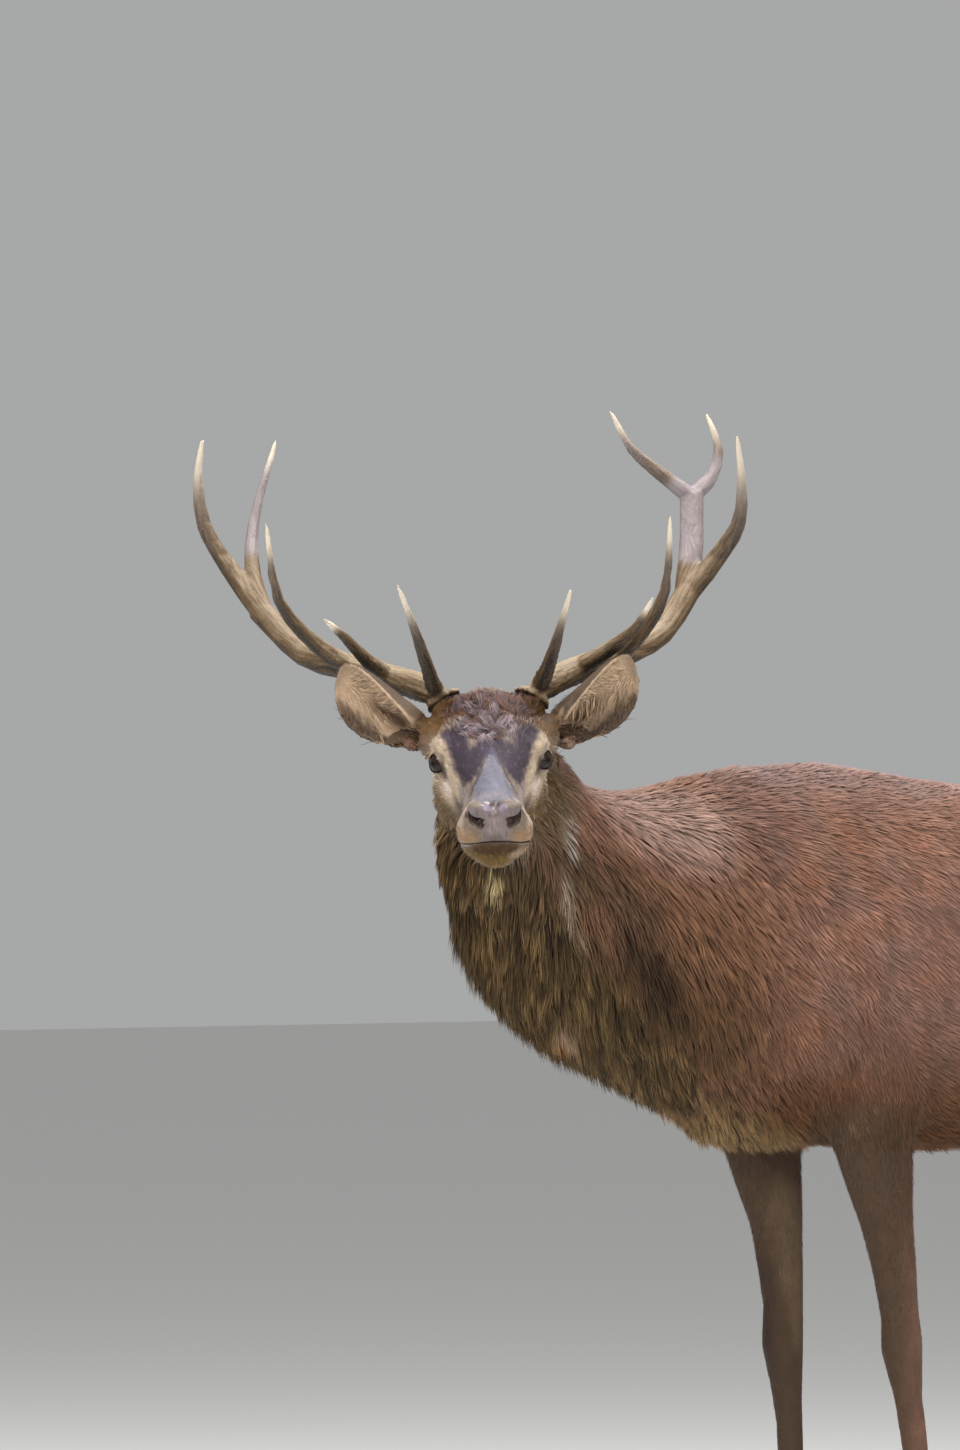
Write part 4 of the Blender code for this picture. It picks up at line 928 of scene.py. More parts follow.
# One nostril's outline in the head's frame, across and up.
NOSTRIL = [
    (0.0370, 0.0180), (0.0335, 0.0120), (0.0270, 0.0090), (0.0200, 0.0080), (0.0155, 0.0050),
    (0.0170, 0.0010), (0.0205, -0.0030), (0.0255, -0.0070), (0.0310, -0.0090),
    (0.0355, -0.0050), (0.0380, 0.0030), (0.0388, 0.0110),
]
NOSTRIL_FRONT = -0.243
# The line between the lips, from the middle to the left corner.
MOUTH = [
    (0.000, -0.240, -0.0352), (0.018, -0.238, -0.0362), (0.034, -0.232, -0.0388),
    (0.045, -0.219, -0.0430), (0.0500, -0.200, -0.0480), (0.0485, -0.175, -0.0535),
    (0.0450, -0.150, -0.0590),
]


def closed_loft(rings):
    """Points and faces of a closed body through rings of equal length."""
    count = len(rings[0])
    faces = [tuple(range(count))[::-1]]
    for ring in range(len(rings) - 1):
        for k in range(count):
            a, b = ring * count + k, ring * count + (k + 1) % count
            faces.append((a, b, b + count, a + count))
    last = (len(rings) - 1) * count
    faces.append(tuple(range(last, last + count)))
    return [p for ring in rings for p in ring], faces


def cutter(name, rings):
    points, faces = closed_loft([[HEAD @ Vector(p) for p in ring] for ring in rings])
    piece = new_piece(name, points, faces)
    only(piece)
    bpy.ops.object.mode_set(mode="EDIT")
    bpy.ops.mesh.select_all(action="SELECT")
    bpy.ops.mesh.normals_make_consistent(inside=False)
    bpy.ops.object.mode_set(mode="OBJECT")
    return piece


def eye_cutter(side):
    out, ahead, up = eye_axes(side)
    rings = []
    for depth, wide in ((0.001, 0.92), (0.012, 1.0), (0.020, 1.10), (0.040, 1.5)):
        ring = []
        for angle in np.arange(40) * math.tau / 40:
            along = LID_LENGTH * wide * math.cos(angle)
            narrow = 1 - LID_NARROWING * min(1, max(0, along / LID_LENGTH))
            rise = LID_HEIGHT * wide * narrow * math.sin(angle)
            ring.append(EYES_IN_HEAD[side] + out * depth + ahead * along + up * rise)
        rings.append(ring)
    return cutter(f"eye_cut_{side}", rings)


def nostril_cutter(side):
    """A comma-shaped hollow that runs in and back."""
    outline = np.array([
        (side * x, NOSTRIL_FRONT + 4.0 * max(0, x - 0.022) ** 1.5, z) for x, z in NOSTRIL
    ])
    darkest = np.array((side * 0.021, NOSTRIL_FRONT, 0.004))
    inward = np.array((-side * 0.05, 1.0, 0.10))
    rings = []
    for depth, wide in ((-0.014, 1.05), (0.0, 1.0), (0.004, 0.80), (0.010, 0.55), (0.018, 0.35)):
        rings.append(darkest + (outline - darkest) * wide + inward * depth)
    return cutter(f"nostril_cut_{side}", rings)


BLADE_OUT, BLADE_IN = 0.012, 0.009  # how far the mouth's blade stands out and cuts in
BLADE_HALF, BLADE_EDGE = 0.0020, 0.0005  # half of its thickness outside and inside


def mouth_cutter():
    """A thin blade along the line between the lips."""
    right = [(-x, y, z) for x, y, z in MOUTH[:0:-1]]
    line = np.array(right + MOUTH)
    tangent = unit(np.gradient(line, axis=0))
    out = unit(np.cross(tangent, (0, 0, 1)))
    flip = np.sign((out * (line - np.array((0, -0.19, 0)))).sum(1))[:, None]
    out = out * np.where(flip == 0, 1, flip)
    ends = np.clip(1.6 * np.minimum(np.arange(len(line)), np.arange(len(line))[::-1]), 0.35, 1)
    up = np.array((0, 0, 1.0))
    rings = []
    for place, way, wide in zip(line, out, ends):
        outer, inner = place + way * BLADE_OUT, place - way * BLADE_IN * wide
        rings.append([
            outer + up * BLADE_HALF * wide, outer - up * BLADE_HALF * wide,
            inner - up * BLADE_EDGE, inner + up * BLADE_EDGE,
        ])
    return cutter("mouth_cut", rings)


def sculpt_face(points, normals):
    """Raises and presses the face's forms. Points are in the head's frame."""
    for side in SIDES:
        for place, radii, rise in FACE_FORMS:
            apart = (points - np.array(place) * (side, 1, 1)) / np.array(radii)
            fall = np.exp(-1.4 * (apart**2).sum(1))
            half = 0.5 if place[0] == 0 else 1.0
            points = points + normals * (fall * rise * half)[:, None]
        for path, depth in FACE_FURROWS:
            apart = reach(points, path, side < 0)
            points = points - normals * (np.exp(-(apart**2)) * depth)[:, None]
    for side in SIDES:
        out, ahead, up = (np.array(way) for way in eye_axes(side))
        apart = points - np.array(EYES_IN_HEAD[side])
        far = np.linalg.norm(apart, axis=1)
        axis = np.hypot(apart @ ahead, apart @ up)
        fall = (1 - smoothstep(0.95, 1.55, axis / EYE_RADIUS)) * (apart @ out > 0)
        lid = EYE_RADIUS + SIZES.lid_thickness
        points = points + unit(apart) * ((lid - far) * fall)[:, None]
    return points


def head_skin():
    piece = melted("head_skin", ["head", "neck", *EARS, "eye_left", "eye_right"], HEAD_VOXEL)
    parted(piece, -1)
    points = points_of(piece)
    ears = np.zeros(len(points), bool)
    for side in SIDES:
        local = into(ear_matrix(side), points)
        ears |= (local[:, 2] > EAR_FOOT) & (np.abs(local[:, 0]) < EAR_BREADTH)
    points = softened(points, edges_of(piece), 5, np.where(ears, 0.35, 1.0))
    place_points(piece, points)
    sink = np.where(ears, EAR_SINK, coat_lie(points)[3])
    place_points(piece, points - normals_of(piece) * sink[:, None])

    shape = bmesh.new()
    shape.from_mesh(piece.data)
    shape.faces.ensure_lookup_table()
    centres = into(HEAD, np.array([f.calc_center_median() for f in shape.faces]))
    fine = centres[:, 1] < MUZZLE
    for side in SIDES:
        fine |= np.linalg.norm(centres - np.array(EYES_IN_HEAD[side]), axis=1) < EYE_SOCKET
    edges = {e for i in np.flatnonzero(fine) for e in shape.faces[i].edges}
    bmesh.ops.subdivide_edges(
        shape, edges=sorted(edges, key=lambda e: e.index), cuts=1, use_grid_fill=True
    )
    shape.to_mesh(piece.data)
    shape.free()

    normals = normals_of(piece) @ array(HEAD)[:3, :3]
    points = sculpt_face(into(HEAD, points_of(piece)), normals)
    place_points(piece, out_of(HEAD, points))
    cuts = [eye_cutter(1), eye_cutter(-1), nostril_cutter(1), nostril_cutter(-1), mouth_cutter()]
    only(*cuts)
    bpy.ops.object.join()
    apply(piece, "BOOLEAN", operation="DIFFERENCE", solver="EXACT", object=cuts[0])
    bpy.data.objects.remove(cuts[0])
    return piece


def whole_skin():
    """Joins the skins of head and body into one closed skin."""
    piece = body_skin()
    head = head_skin()
    only(piece, head)
    bpy.ops.object.join()
    piece.name = piece.data.name = "skin"
    shape = bmesh.new()
    shape.from_mesh(piece.data)
    rim = [e for e in shape.edges if e.is_boundary]
    bmesh.ops.bridge_loops(shape, edges=rim)
    bmesh.ops.triangulate(shape, faces=[f for f in shape.faces if len(f.verts) > 4])
    bmesh.ops.recalc_face_normals(shape, faces=shape.faces)
    if shape.calc_volume(signed=True) < 0:
        bmesh.ops.reverse_faces(shape, faces=shape.faces)
    shape.to_mesh(piece.data)
    shape.free()
    points = points_of(piece)
    way = HEAD.to_3x3() @ NECK_SEAM_WAY
    apart = np.abs((points - np.array(HEAD @ NECK_SEAM)) @ np.array(way))
    near = 1 - smoothstep(SEAM_NEAR, SEAM_FAR, apart)
    place_points(piece, softened(points, edges_of(piece), 10, near))
    return piece


STORED_AS = {"FLOAT_COLOR": "color", "FLOAT_VECTOR": "vector", "FLOAT": "value"}


def store(piece, name, values, kind="FLOAT_COLOR"):
    """Stores one colour, direction or number for each point."""
    if kind == "FLOAT_COLOR":
        values = np.hstack([values, np.ones((len(values), 1))])
    layer = piece.data.attributes.new(name, kind, "POINT")
    layer.data.foreach_set(STORED_AS[kind], values.astype(np.float32).ravel())


UNDERFUR_SHADE = 0.72  # painted shade: the skin under the coat wears this share of the coat's tone, darker as if shaded by the hair
# The second colour is painted shade inside the nostrils.
PIT_COLOUR, NOSTRIL_SHADE = (0.050, 0.032, 0.026), (0.042, 0.022, 0.021)
# The first colour is the lips' dark edge with painted shade in the crease between them; the second
# is painted shadow under the upper lip.
LIP_EDGE_AND_CREASE_SHADE, LIP_SHADOW_COLOUR = (0.022, 0.013, 0.009), (0.050, 0.024, 0.006)
TEAR_PIT = FACE_FURROWS[0][0]
NOSTRIL_HOLLOW = [(0.024, -0.236, 0.004, 0.013), (0.033, -0.228, 0.003, 0.010)]
# Paths of the dark lip edge with its painted crease shade, and of the painted shadow under the
# upper lip.
LIP_LINE = [(x * 0.96, y + 0.004, z - 0.0008, 0.0042) for x, y, z in MOUTH]
LIP_SHADOW_PATH = [(x * 0.96, y + 0.003, z - 0.0060, 0.0048) for x, y, z in MOUTH[:4]]


def face_colours(points, colours):
    """Colours the nose pad, lids' rims, tear pits, nostrils and lips, and says what is wet; paints
    highlight on the pad's lobes and shade in its notch, the nostrils and the mouth.
    """
    local = into(HEAD, points)
    nose = np.minimum(both_sides(local, NOSE_PAD), reach(local, NOSE_LIP))
    pad = (1 - smoothstep(0.92, 1.04, nose))[:, None]
    mottle = 1 + 0.30 * ripple(points, 0.006, 31)[:, None]
    colours = drawn_to(colours, np.array(PAD_COLOUR) * mottle, pad)
    for tone, path in PAD_TONES_AND_PAINTED_LIGHT:
        share = np.exp(-(both_sides(local, path) ** 2))[:, None] * pad
        colours = drawn_to(colours, np.array(tone) * mottle, share)
    for side in SIDES:
        rim = (1 - smoothstep(1.02, 1.20, eye_opening(local, side)))[:, None]
        colours = drawn_to(colours, RIM_COLOUR, rim)
    pit = np.exp(-((both_sides(local, TEAR_PIT) / 0.8) ** 2))[:, None] * 0.7
    colours = drawn_to(colours, PIT_COLOUR, pit)
    # Painted shade inside the nostrils, darkest furthest in.
    inside = 1 - smoothstep(0.9, 1.1, both_sides(local, NOSTRIL_HOLLOW))
    deep = smoothstep(-0.243, -0.236, local[:, 1]) * (1 - pad[:, 0])
    hollow = np.clip(inside * 0.6 + deep * inside * 0.4, 0, 1) * (local[:, 1] > -0.2415)
    colours = drawn_to(colours, NOSTRIL_SHADE, hollow[:, None])
    # The lips' dark edge with painted shade in the crease, and painted shadow under the upper lip;
    # both dull the wet shine.
    lips = np.exp(-(both_sides(local, LIP_LINE) ** 2))
    colours = drawn_to(colours, LIP_EDGE_AND_CREASE_SHADE, lips[:, None])
    under = np.exp(-(both_sides(local, LIP_SHADOW_PATH) ** 2))
    colours = colours + (np.array(LIP_SHADOW_COLOUR) - colours) * 0.9 * under[:, None]
    return colours, bare(points) * (1 - 0.85 * np.maximum(lips, under))


def skin_material():
    shade = Shade("short_coat", Specular_IOR_Level=0.3)
    place = shade.place()
    tint, wet = shade.stored("tint"), shade.stored("wet", "Fac")
    hair = shade.noise(place, 420, 2.0, 0.6)
    patches = shade.noise(place, 45, 4.0, 0.6)
    light = hair * 0.5 + patches * 0.6 + 0.45
    colour = shade.mixed(1.0, tint, shade.grey(light), "MULTIPLY")
    pebbles = shade.node(
        "ShaderNodeTexVoronoi", {"feature": "DISTANCE_TO_EDGE"}, output="Distance",
        Vector=place, Scale=520.0,
    )
    damp = shade.noise(place, 900, 2.0)
    rough = (1 - wet) * 0.75 + wet * (0.26 + 0.25 * patches)
    normal = shade.bump(hair * (1 - wet), 0.5, 0.0012)
    normal = shade.bump(wet * shade.ramp(
        pebbles, (0.0, (0, 0, 0)), (0.12, (1, 1, 1))), 0.55, 0.0006, normal)
    return shade.finish(
        Base_Color=colour, Roughness=rough, Normal=normal, Coat_Weight=wet * 0.35 * damp * 2,
    )


# ------------------------------------------------------------------ tufts

# Large factors that turn the three numbers of a small cell of space into one key.
CELL_KEYS = np.array((73856093, 19349663, 83492791))
LOCK_KEYS = np.array((92837111, 689287, 283923))
TRIES = 2.2  # roots strewn for each place that may keep one


class Ground:
    """The skin as the tufts see it: where they root and what they lie on."""

    def __init__(self, piece):
        mesh = piece.data
        mesh.calc_loop_triangles()
        self.points = points_of(piece)
        self.normals = normals_of(piece)
        self.faces = read(mesh.loop_triangles, "vertices", 3, np.int32)
        corners = self.points[self.faces]
        cross = np.cross(corners[:, 1] - corners[:, 0], corners[:, 2] - corners[:, 0])
        self.areas = np.linalg.norm(cross, axis=1) / 2
        self.centres = corners.mean(1)
        self.tree = BVHTree.FromPolygons(
            [Vector(p) for p in self.points], self.faces.tolist()
        )
        self.owners = nearest_node(self.centres, FLESH)

    def nearest(self, points):
        """The nearest places on the skin, and the smooth normals there."""
        places, faces = np.empty_like(points), np.empty(len(points), np.int32)
        for i, point in enumerate(points):
            place, _, face, _ = self.tree.find_nearest(Vector(point))
            places[i], faces[i] = place, face
        return places, self.smooth_normal(places, faces)

    def smooth_normal(self, places, faces):
        a, b, c = (self.points[self.faces[faces, k]] for k in range(3))
        whole = np.cross(b - a, c - a)
        size = np.maximum((whole**2).sum(1), 1e-18)
        u = (np.cross(c - b, places - b) * whole).sum(1) / size
        v = (np.cross(a - c, places - c) * whole).sum(1) / size
        share = np.clip(np.stack([u, v, 1 - u - v], 1), 0, 1)
        normals = self.normals[self.faces[faces]]
        return unit((normals * share[:, :, None]).sum(1))

    def face_normals(self):
        return self.smooth_normal(self.centres, np.arange(len(self.faces)))

    def scatter(self, spacing, seed, chosen):
        """Evenly strewn roots on the chosen faces: places, normals and owners."""
        draw = np.random.default_rng(seed)
        areas = self.areas * chosen
        count = int(areas.sum() / spacing**2 * TRIES)
        faces = draw.choice(len(areas), count, p=areas / areas.sum())
        u, v = draw.random((2, count, 1))
        turned = u + v > 1
        u, v = np.where(turned, 1 - u, u), np.where(turned, 1 - v, v)
        a, b, c = (self.points[self.faces[faces, k]] for k in range(3))
        places = a + (b - a) * u + (c - a) * v
        key = np.floor(places / spacing).astype(np.int64) @ CELL_KEYS
        _, first = np.unique(key, return_index=True)
        first.sort()
        places, faces = places[first], faces[first]
        return places, self.smooth_normal(places, faces), self.owners[faces]


def template(rings):
    """Faces of one tuft with that many three-cornered rings and a point, as loops and sizes."""
    loops, sizes = [2, 1, 0], [3]
    for ring in range(rings - 1):
        for k in range(3):
            a, b = ring * 3 + k, ring * 3 + (k + 1) % 3
            loops += [a, b, b + 3, a + 3]
            sizes.append(4)
    for k in range(3):
        loops += [(rings - 1) * 3 + k, (rings - 1) * 3 + (k + 1) % 3, rings * 3]
        sizes.append(3)
    return np.array(loops), np.array(sizes)


def template_map(rings):
    """Where each corner of one tuft's faces lies on its own patch, from 0 to 1."""
    def at(column, ring):
        return (column / 3, 0.15 + 0.85 * ring / rings)

    spots = [(0.9, 0.0), (0.5, 0.12), (0.1, 0.0)]
    for ring in range(rings - 1):
        for k in range(3):
            spots += [at(k, ring), at(k + 1, ring), at(k + 1, ring + 1), at(k, ring + 1)]
    for k in range(3):
        spots += [at(k, rings - 1), at(k + 1, rings - 1), at(k + 0.5, rings)]
    return np.array(spots)


CHART_GAP = 0.004  # between charts, in metres
FIRST_GUESS, WIDENING = 0.9, 1.03  # the square's first width, and how it grows until all fits
MAP_EDGE, MAP_SHARE = 0.002, 0.993  # the map's margin, and how much of it the charts take


def unfolded(points, normals, owners):
    """Lays the roots out flat: each solid's six sides are laid side by side on one square."""
    local = into(BODY, points)
    axis = np.abs(normals).argmax(1)
    chart = owners * 6 + axis * 2 + (np.take_along_axis(normals, axis[:, None], 1)[:, 0] > 0)
    others = np.array([(1, 2), (0, 2), (0, 1)])[axis]
    flat = np.take_along_axis(local, others, 1)
    charts, which = np.unique(chart, return_inverse=True)
    lows = np.array([flat[which == k].min(0) for k in range(len(charts))])
    highs = np.array([flat[which == k].max(0) for k in range(len(charts))])
    sizes = highs - lows + CHART_GAP
    order = np.argsort(-sizes[:, 1])
    corners = np.zeros_like(sizes)
    width = max(sizes[:, 0].max(), math.sqrt(sizes.prod(1).sum()) * FIRST_GUESS)
    while True:  # rows of charts, in a square just wide enough for them
        along = row = tall = 0.0
        for k in order:
            if along + sizes[k, 0] > width and along > 0:
                row, along, tall = row + tall, 0.0, 0.0
            corners[k] = along, row
            along, tall = along + sizes[k, 0], max(tall, sizes[k, 1])
        if row + tall <= width:
            break
        width *= WIDENING
    return MAP_EDGE + (corners[which] + flat - lows[which]) / width * MAP_SHARE


Tufts = namedtuple("Tufts", "roots normals owners ways lengths breadths lifts")


ROOT_DEPTH = 0.0010  # how deep a tuft stands in the skin


def hair_paths(ground, tufts, rings, sag, loose, bend):
    """Each tuft's points as it lies on the skin, the skin's normals there and the tuft's run."""
    here = tufts.roots - tufts.normals * ROOT_DEPTH
    under = tufts.normals
    way = unit(tufts.ways - under * (tufts.ways * under).sum(1, keepdims=True))
    path, below, run = [here], [under], [way]
    down = np.array((0, 0, -1.0))
    for step in range(1, rings + 1):
        share = step / rings
        stride = (tufts.lengths / rings)[:, None]
        ahead = unit(way + down * sag * share + np.cross(under, way) * bend[:, None])
        free = here + ahead * stride
        spot, under = ground.nearest(free)
        over = ((free - spot) * under).sum(1)
        rise = tufts.lengths * np.sin(tufts.lifts) * share * (1.6 - 0.6 * share)
        height = np.clip(over, rise, rise + loose * tufts.lengths * share)
        there = spot + under * height[:, None]
        way = unit(there - here)
        here = there
        path.append(here)
        below.append(under)
        run.append(way)
    return np.stack(path, 1), np.stack(below, 1), np.stack(run, 1)


def gathered(paths, roots, cell, pull):
    """Draws neighbouring tufts together at their tips, and says which lock each is in."""
    key = np.floor(roots / cell + 0.37).astype(np.int64) @ LOCK_KEYS
    _, leaders = np.unique(key, return_index=True)
    tree = kdtree.KDTree(len(leaders))
    for number, leader in enumerate(leaders):
        tree.insert(Vector(roots[leader]), number)
    tree.balance()
    lock = np.array([tree.find(Vector(root))[1] for root in roots])
    share = np.linspace(0, 1, paths.shape[1])[None, :, None] ** 1.3 * pull
    return paths + (paths[leaders[lock]] - paths) * share, lock


RIDGE = 0.38  # height of a tuft's middle ridge, in breadths
SIDE_TURN = 0.50  # how far the shading turns towards a tuft's sides
MAP_PATCH = 0.003  # size of one tuft's patch on the bake map
TIP_HIGHLIGHT = 1.12  # painted highlight: how much lighter than its colour a tuft is at its tip


def hair_mesh(name, paths, below, run, tufts, colours, root_shade, material):
    """One piece of the coat from all its tufts at once."""
    count, rings = len(paths), paths.shape[1] - 1
    side = unit(np.cross(run, below))
    up = unit(np.cross(side, run))
    share = np.arange(rings) / rings
    wide = (0.70 + 0.9 * share - 1.25 * share**2)[None, :, None] * tufts.breadths[:, None, None]
    base = paths[:, :rings]
    left = base - side[:, :rings] * wide / 2
    right = base + side[:, :rings] * wide / 2
    top = base + up[:, :rings] * wide * RIDGE
    body = np.stack([left, top, right], 2).reshape(count, rings * 3, 3)
    points = np.concatenate([body, paths[:, rings:]], 1).reshape(-1, 3)
    soft = below[:, :rings] * 0.85
    aside = side[:, :rings] * SIDE_TURN
    shine = np.stack([soft - aside, below[:, :rings], soft + aside], 2)
    shine = shine.reshape(count, rings * 3, 3)
    shine = np.concatenate([shine, below[:, rings:]], 1).reshape(-1, 3)
    each = rings * 3 + 1
    loops, sizes = template(rings)
    loops = (loops[None] + np.arange(count)[:, None] * each).ravel()
    sizes = np.tile(sizes, count)
    starts = np.concatenate([[0], np.cumsum(sizes)[:-1]])
    mesh = bpy.data.meshes.new(name)
    mesh.vertices.add(len(points))
    mesh.vertices.foreach_set("co", points.astype(np.float32).ravel())
    mesh.loops.add(len(loops))
    mesh.loops.foreach_set("vertex_index", loops.astype(np.int32))
    mesh.polygons.add(len(sizes))
    mesh.polygons.foreach_set("loop_start", starts.astype(np.int32))
    mesh.update(calc_edges=True)
    layer = mesh.uv_layers.new(name="OFBake")
    corners = unfolded(tufts.roots, tufts.normals, tufts.owners)[:, None]
    spots = corners + template_map(rings)[None] * MAP_PATCH
    layer.data.foreach_set("uv", spots.astype(np.float32).ravel())
    mesh.polygons.foreach_set("use_smooth", np.ones(len(sizes), bool))
    mesh.normals_split_custom_set_from_vertices(unit(shine).tolist())
    piece = new_object(name, mesh)
    # Painted shade darkens each tuft at its root, and a painted highlight lightens it at its tip.
    level = np.concatenate([np.repeat(share, 3), [1.0]])[None, :, None]
    shaded = colours[:, None] * (root_shade + (TIP_HIGHLIGHT - root_shade) * level)
    store(piece, "tint", shaded.reshape(-1, 3))
    mesh.materials.append(material)
    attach(piece, "root")


def hair_material():
    found = bpy.data.materials.get("hair")
    if found:
        return found
    shade = Shade(
        "hair", Roughness=0.6, Specular_IOR_Level=0.16, Sheen_Weight=0.02, Sheen_Roughness=0.4
    )
    place = shade.place()
    strands = shade.noise(place, 700, 2.0, 0.6)
    grey = shade.grey(strands * 0.7 + 0.65)
    colour = shade.mixed(1.0, shade.stored("tint"), grey, "MULTIPLY")
    return shade.finish(
        Base_Color=colour, Roughness=0.75 - strands * 0.25,
        Normal=shade.bump(strands, 0.35, 0.0006),
    )


# How each kind of coat grows: spacing between tufts and tuft breadth in metres, rings to a tuft,
# how it sags and hangs loose, the size and pull of its locks, how much the lay wanders, how
# uneven its tone is, how much painted shade darkens it at the root and how much it curls.
Growth = namedtuple(
    "Growth", "spacing breadth rings sag loose lock pull wander tone root curl", defaults=(0.0,)
)
LENGTHS, LIFTS, BREADTHS = (0.75, 1.2), (0.6, 1.5), (0.7, 1.3)  # how far one tuft's may stray
PIECE_TRIANGLES = 190000  # the most that one piece of the coat may have


def grow(ground, name, growth, chosen, seed, longer=1.0, tint=None, way=None):
    """Grows one kind of coat on the chosen faces, in pieces small enough to keep whole."""
    draw = np.random.default_rng(seed)
    places, normals, owners = ground.scatter(growth.spacing, seed, chosen)
    keep = draw.random(len(places)) > bare(places) * 1.2
    places, normals, owners = places[keep], normals[keep], owners[keep]
    ways, lengths, lifts, _ = coat_lie(places)
    if way is not None:
        ways, lengths, lifts = way(places)
    ways = unit(ways - normals * (ways * normals).sum(1, keepdims=True))
    turn = growth.wander * (
        0.55 * ripple(places, 0.10, seed + 1) + 0.35 * ripple(places, 0.03, seed + 2)
        + 0.35 * draw.normal(size=len(places))
    )
    ways = ways * np.cos(turn)[:, None] + np.cross(normals, ways) * np.sin(turn)[:, None]
    lengths = lengths * longer * SIZES.hair_length * draw.uniform(*LENGTHS, len(places))
    lifts = lifts * draw.uniform(*LIFTS, len(places))
    breadths = growth.breadth * SIZES.hair_breadth * draw.uniform(*BREADTHS, len(places))
    tufts = Tufts(places, normals, owners, ways, lengths, breadths, lifts)
    bend = growth.curl * ripple(places, 0.022, seed + 5)
    paths, below, run = hair_paths(ground, tufts, growth.rings, growth.sag, growth.loose, bend)
    paths, lock = gathered(paths, places, growth.lock, growth.pull)
    colours = markings_and_painted_light(places, normals, owners)
    if tint is not None:
        colours = tint(places, colours, lock, draw)
    tone = draw.normal(size=lock.max() + 1)[lock] * 0.7 + draw.normal(size=len(places)) * 0.5
    colours = colours * np.exp(growth.tone * tone)[:, None]
    most = PIECE_TRIANGLES // (growth.rings * 6 - 2)
    axis = 2 if "leg" in name else 1  # legs are parted by height, the rest from front to back
    order = np.argsort(places[:, axis], kind="stable")
    parts = np.array_split(order, math.ceil(len(order) / most))
    for number, part in enumerate(parts):
        label = name if len(parts) == 1 else f"{name}_{number + 1}"
        some = Tufts(*(field[part] for field in tufts))
        hair_mesh(
            label, paths[part], below[part], run[part], some, colours[part], growth.root,
            hair_material(),
        )


SHORT = Growth(0.00525, 0.0023, 2, 0.0, 0.05, 0.013, 0.30, 0.30, 0.17, 0.72)
LEG_HAIR = Growth(0.0046, 0.0019, 1, 0.0, 0.0, 0.010, 0.0, 0.22, 0.24, 0.70)
FRINGE = Growth(0.0030, 0.0018, 2, 0.2, 1.00, 0.008, 0.20, 0.15, 0.20, 0.60)
NECK_HAIR = Growth(0.0043, 0.0021, 3, 0.15, 0.24, 0.014, 0.42, 0.24, 0.20, 0.62, 0.12)
MANE = Growth(0.0040, 0.0020, 3, 0.35, 0.32, 0.015, 0.55, 0.30, 0.24, 0.52, 0.15)
CHEEK_HAIR = Growth(0.0040, 0.0018, 2, 0.0, 0.10, 0.009, 0.32, 0.28, 0.26, 0.66, 0.10)
FACE_HAIR = Growth(0.0026, 0.0012, 1, 0.0, 0.0, 0.0055, 0.0, 0.30, 0.30, 0.66)
FORELOCK = Growth(0.0028, 0.0014, 4, 0.05, 0.24, 0.015, 0.68, 0.75, 0.28, 0.40, 0.85)
EAR_HAIR = Growth(0.0034, 0.0014, 1, 0.0, 0.0, 0.008, 0.0, 0.18, 0.22, 0.65)
EAR_WISPS = Growth(0.0056, 0.0014, 3, 0.0, 0.25, 0.009, 0.40, 0.30, 0.18, 0.66)


# ------------------------------------------------------------------ antlers


def spine_of(node, count=9):
    """Points along the middle of a solid, from the end nearer the head."""
    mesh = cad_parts[node].data
    corners = np.array([[mesh.vertices[i].co for i in p.vertices] for p in mesh.polygons])
    centres, cross = corners.mean(1), np.cross(
        corners[:, 1] - corners[:, 0], corners[:, 2] - corners[:, 0]
    )
    areas = np.linalg.norm(cross, axis=1)
    spread = np.cov(centres.T, aweights=areas)
    along = np.linalg.eigh(spread)[1][:, -1]
    foot = np.array(middle("head"))
    level = (centres - foot) @ along
    if abs(level.min()) > abs(level.max()):
        along, level = -along, -level
    bounds = np.linspace(level.min(), level.max(), count + 1)
    spine = []
    for low, high in zip(bounds, bounds[1:]):
        mine = (level >= low) & (level <= high)
        if mine.sum() >= 3:
            spine.append(np.average(centres[mine], axis=0, weights=areas[mine]))
    return np.array(spine)


GRAIN_PACE, GRAIN_APART = 4.2, 0.7  # how fast the furrows change along a tine, and between tines


def grain_of(points, nodes):
    """Each point's place round and along its own beam or tine, for furrows that follow it."""
    best = np.full(len(points), np.inf)
    grain = np.zeros((len(points), 3))
    for number, node in enumerate(nodes):
        spine = spine_of(node)
        run = np.linalg.norm(np.diff(spine, axis=0), axis=1)
        reached = np.concatenate([[0], np.cumsum(run)]) + number * GRAIN_APART
        for k in range(len(spine) - 1):
            way = spine[k + 1] - spine[k]
            share = ((points - spine[k]) @ way) / (way @ way)
            share = np.clip(share, -0.8 if k == 0 else 0, 1.8 if k == len(spine) - 2 else 1)
            off = points - spine[k] - share[:, None] * way
            apart = np.linalg.norm(off, axis=1)
            nearer = apart < best
            best[nearer] = apart[nearer]
            across = unit(np.cross(way, (0.3, 0, 1.0)))
            other = np.cross(unit(way), across)
            angle = np.arctan2(off @ other, off @ across)
            along = (reached[k] + share * run[k]) * GRAIN_PACE
            grain[nearer] = np.stack([np.cos(angle), np.sin(angle), along], 1)[nearer]
    return grain


ANTLER_VOXEL, PEARL_HEIGHT = 0.0024, 0.0010
ANTLER_FOOT = (0.063, 0.109, 0.054)  # where the left one leaves the head, in the head's frame
TIP_GAIN = 0.0045  # smoothing shortens the points of the tines, and this lengthens them again
BURR_DRAWN_IN = 0.24  # how much slimmer the burr is made
# How far the ivory reaches down from the point of each kind of tine, in metres.
IVORY = {"brow": 0.080, "bez": 0.028, "trez": 0.060, "crown": 0.052, "outer": 0.110}


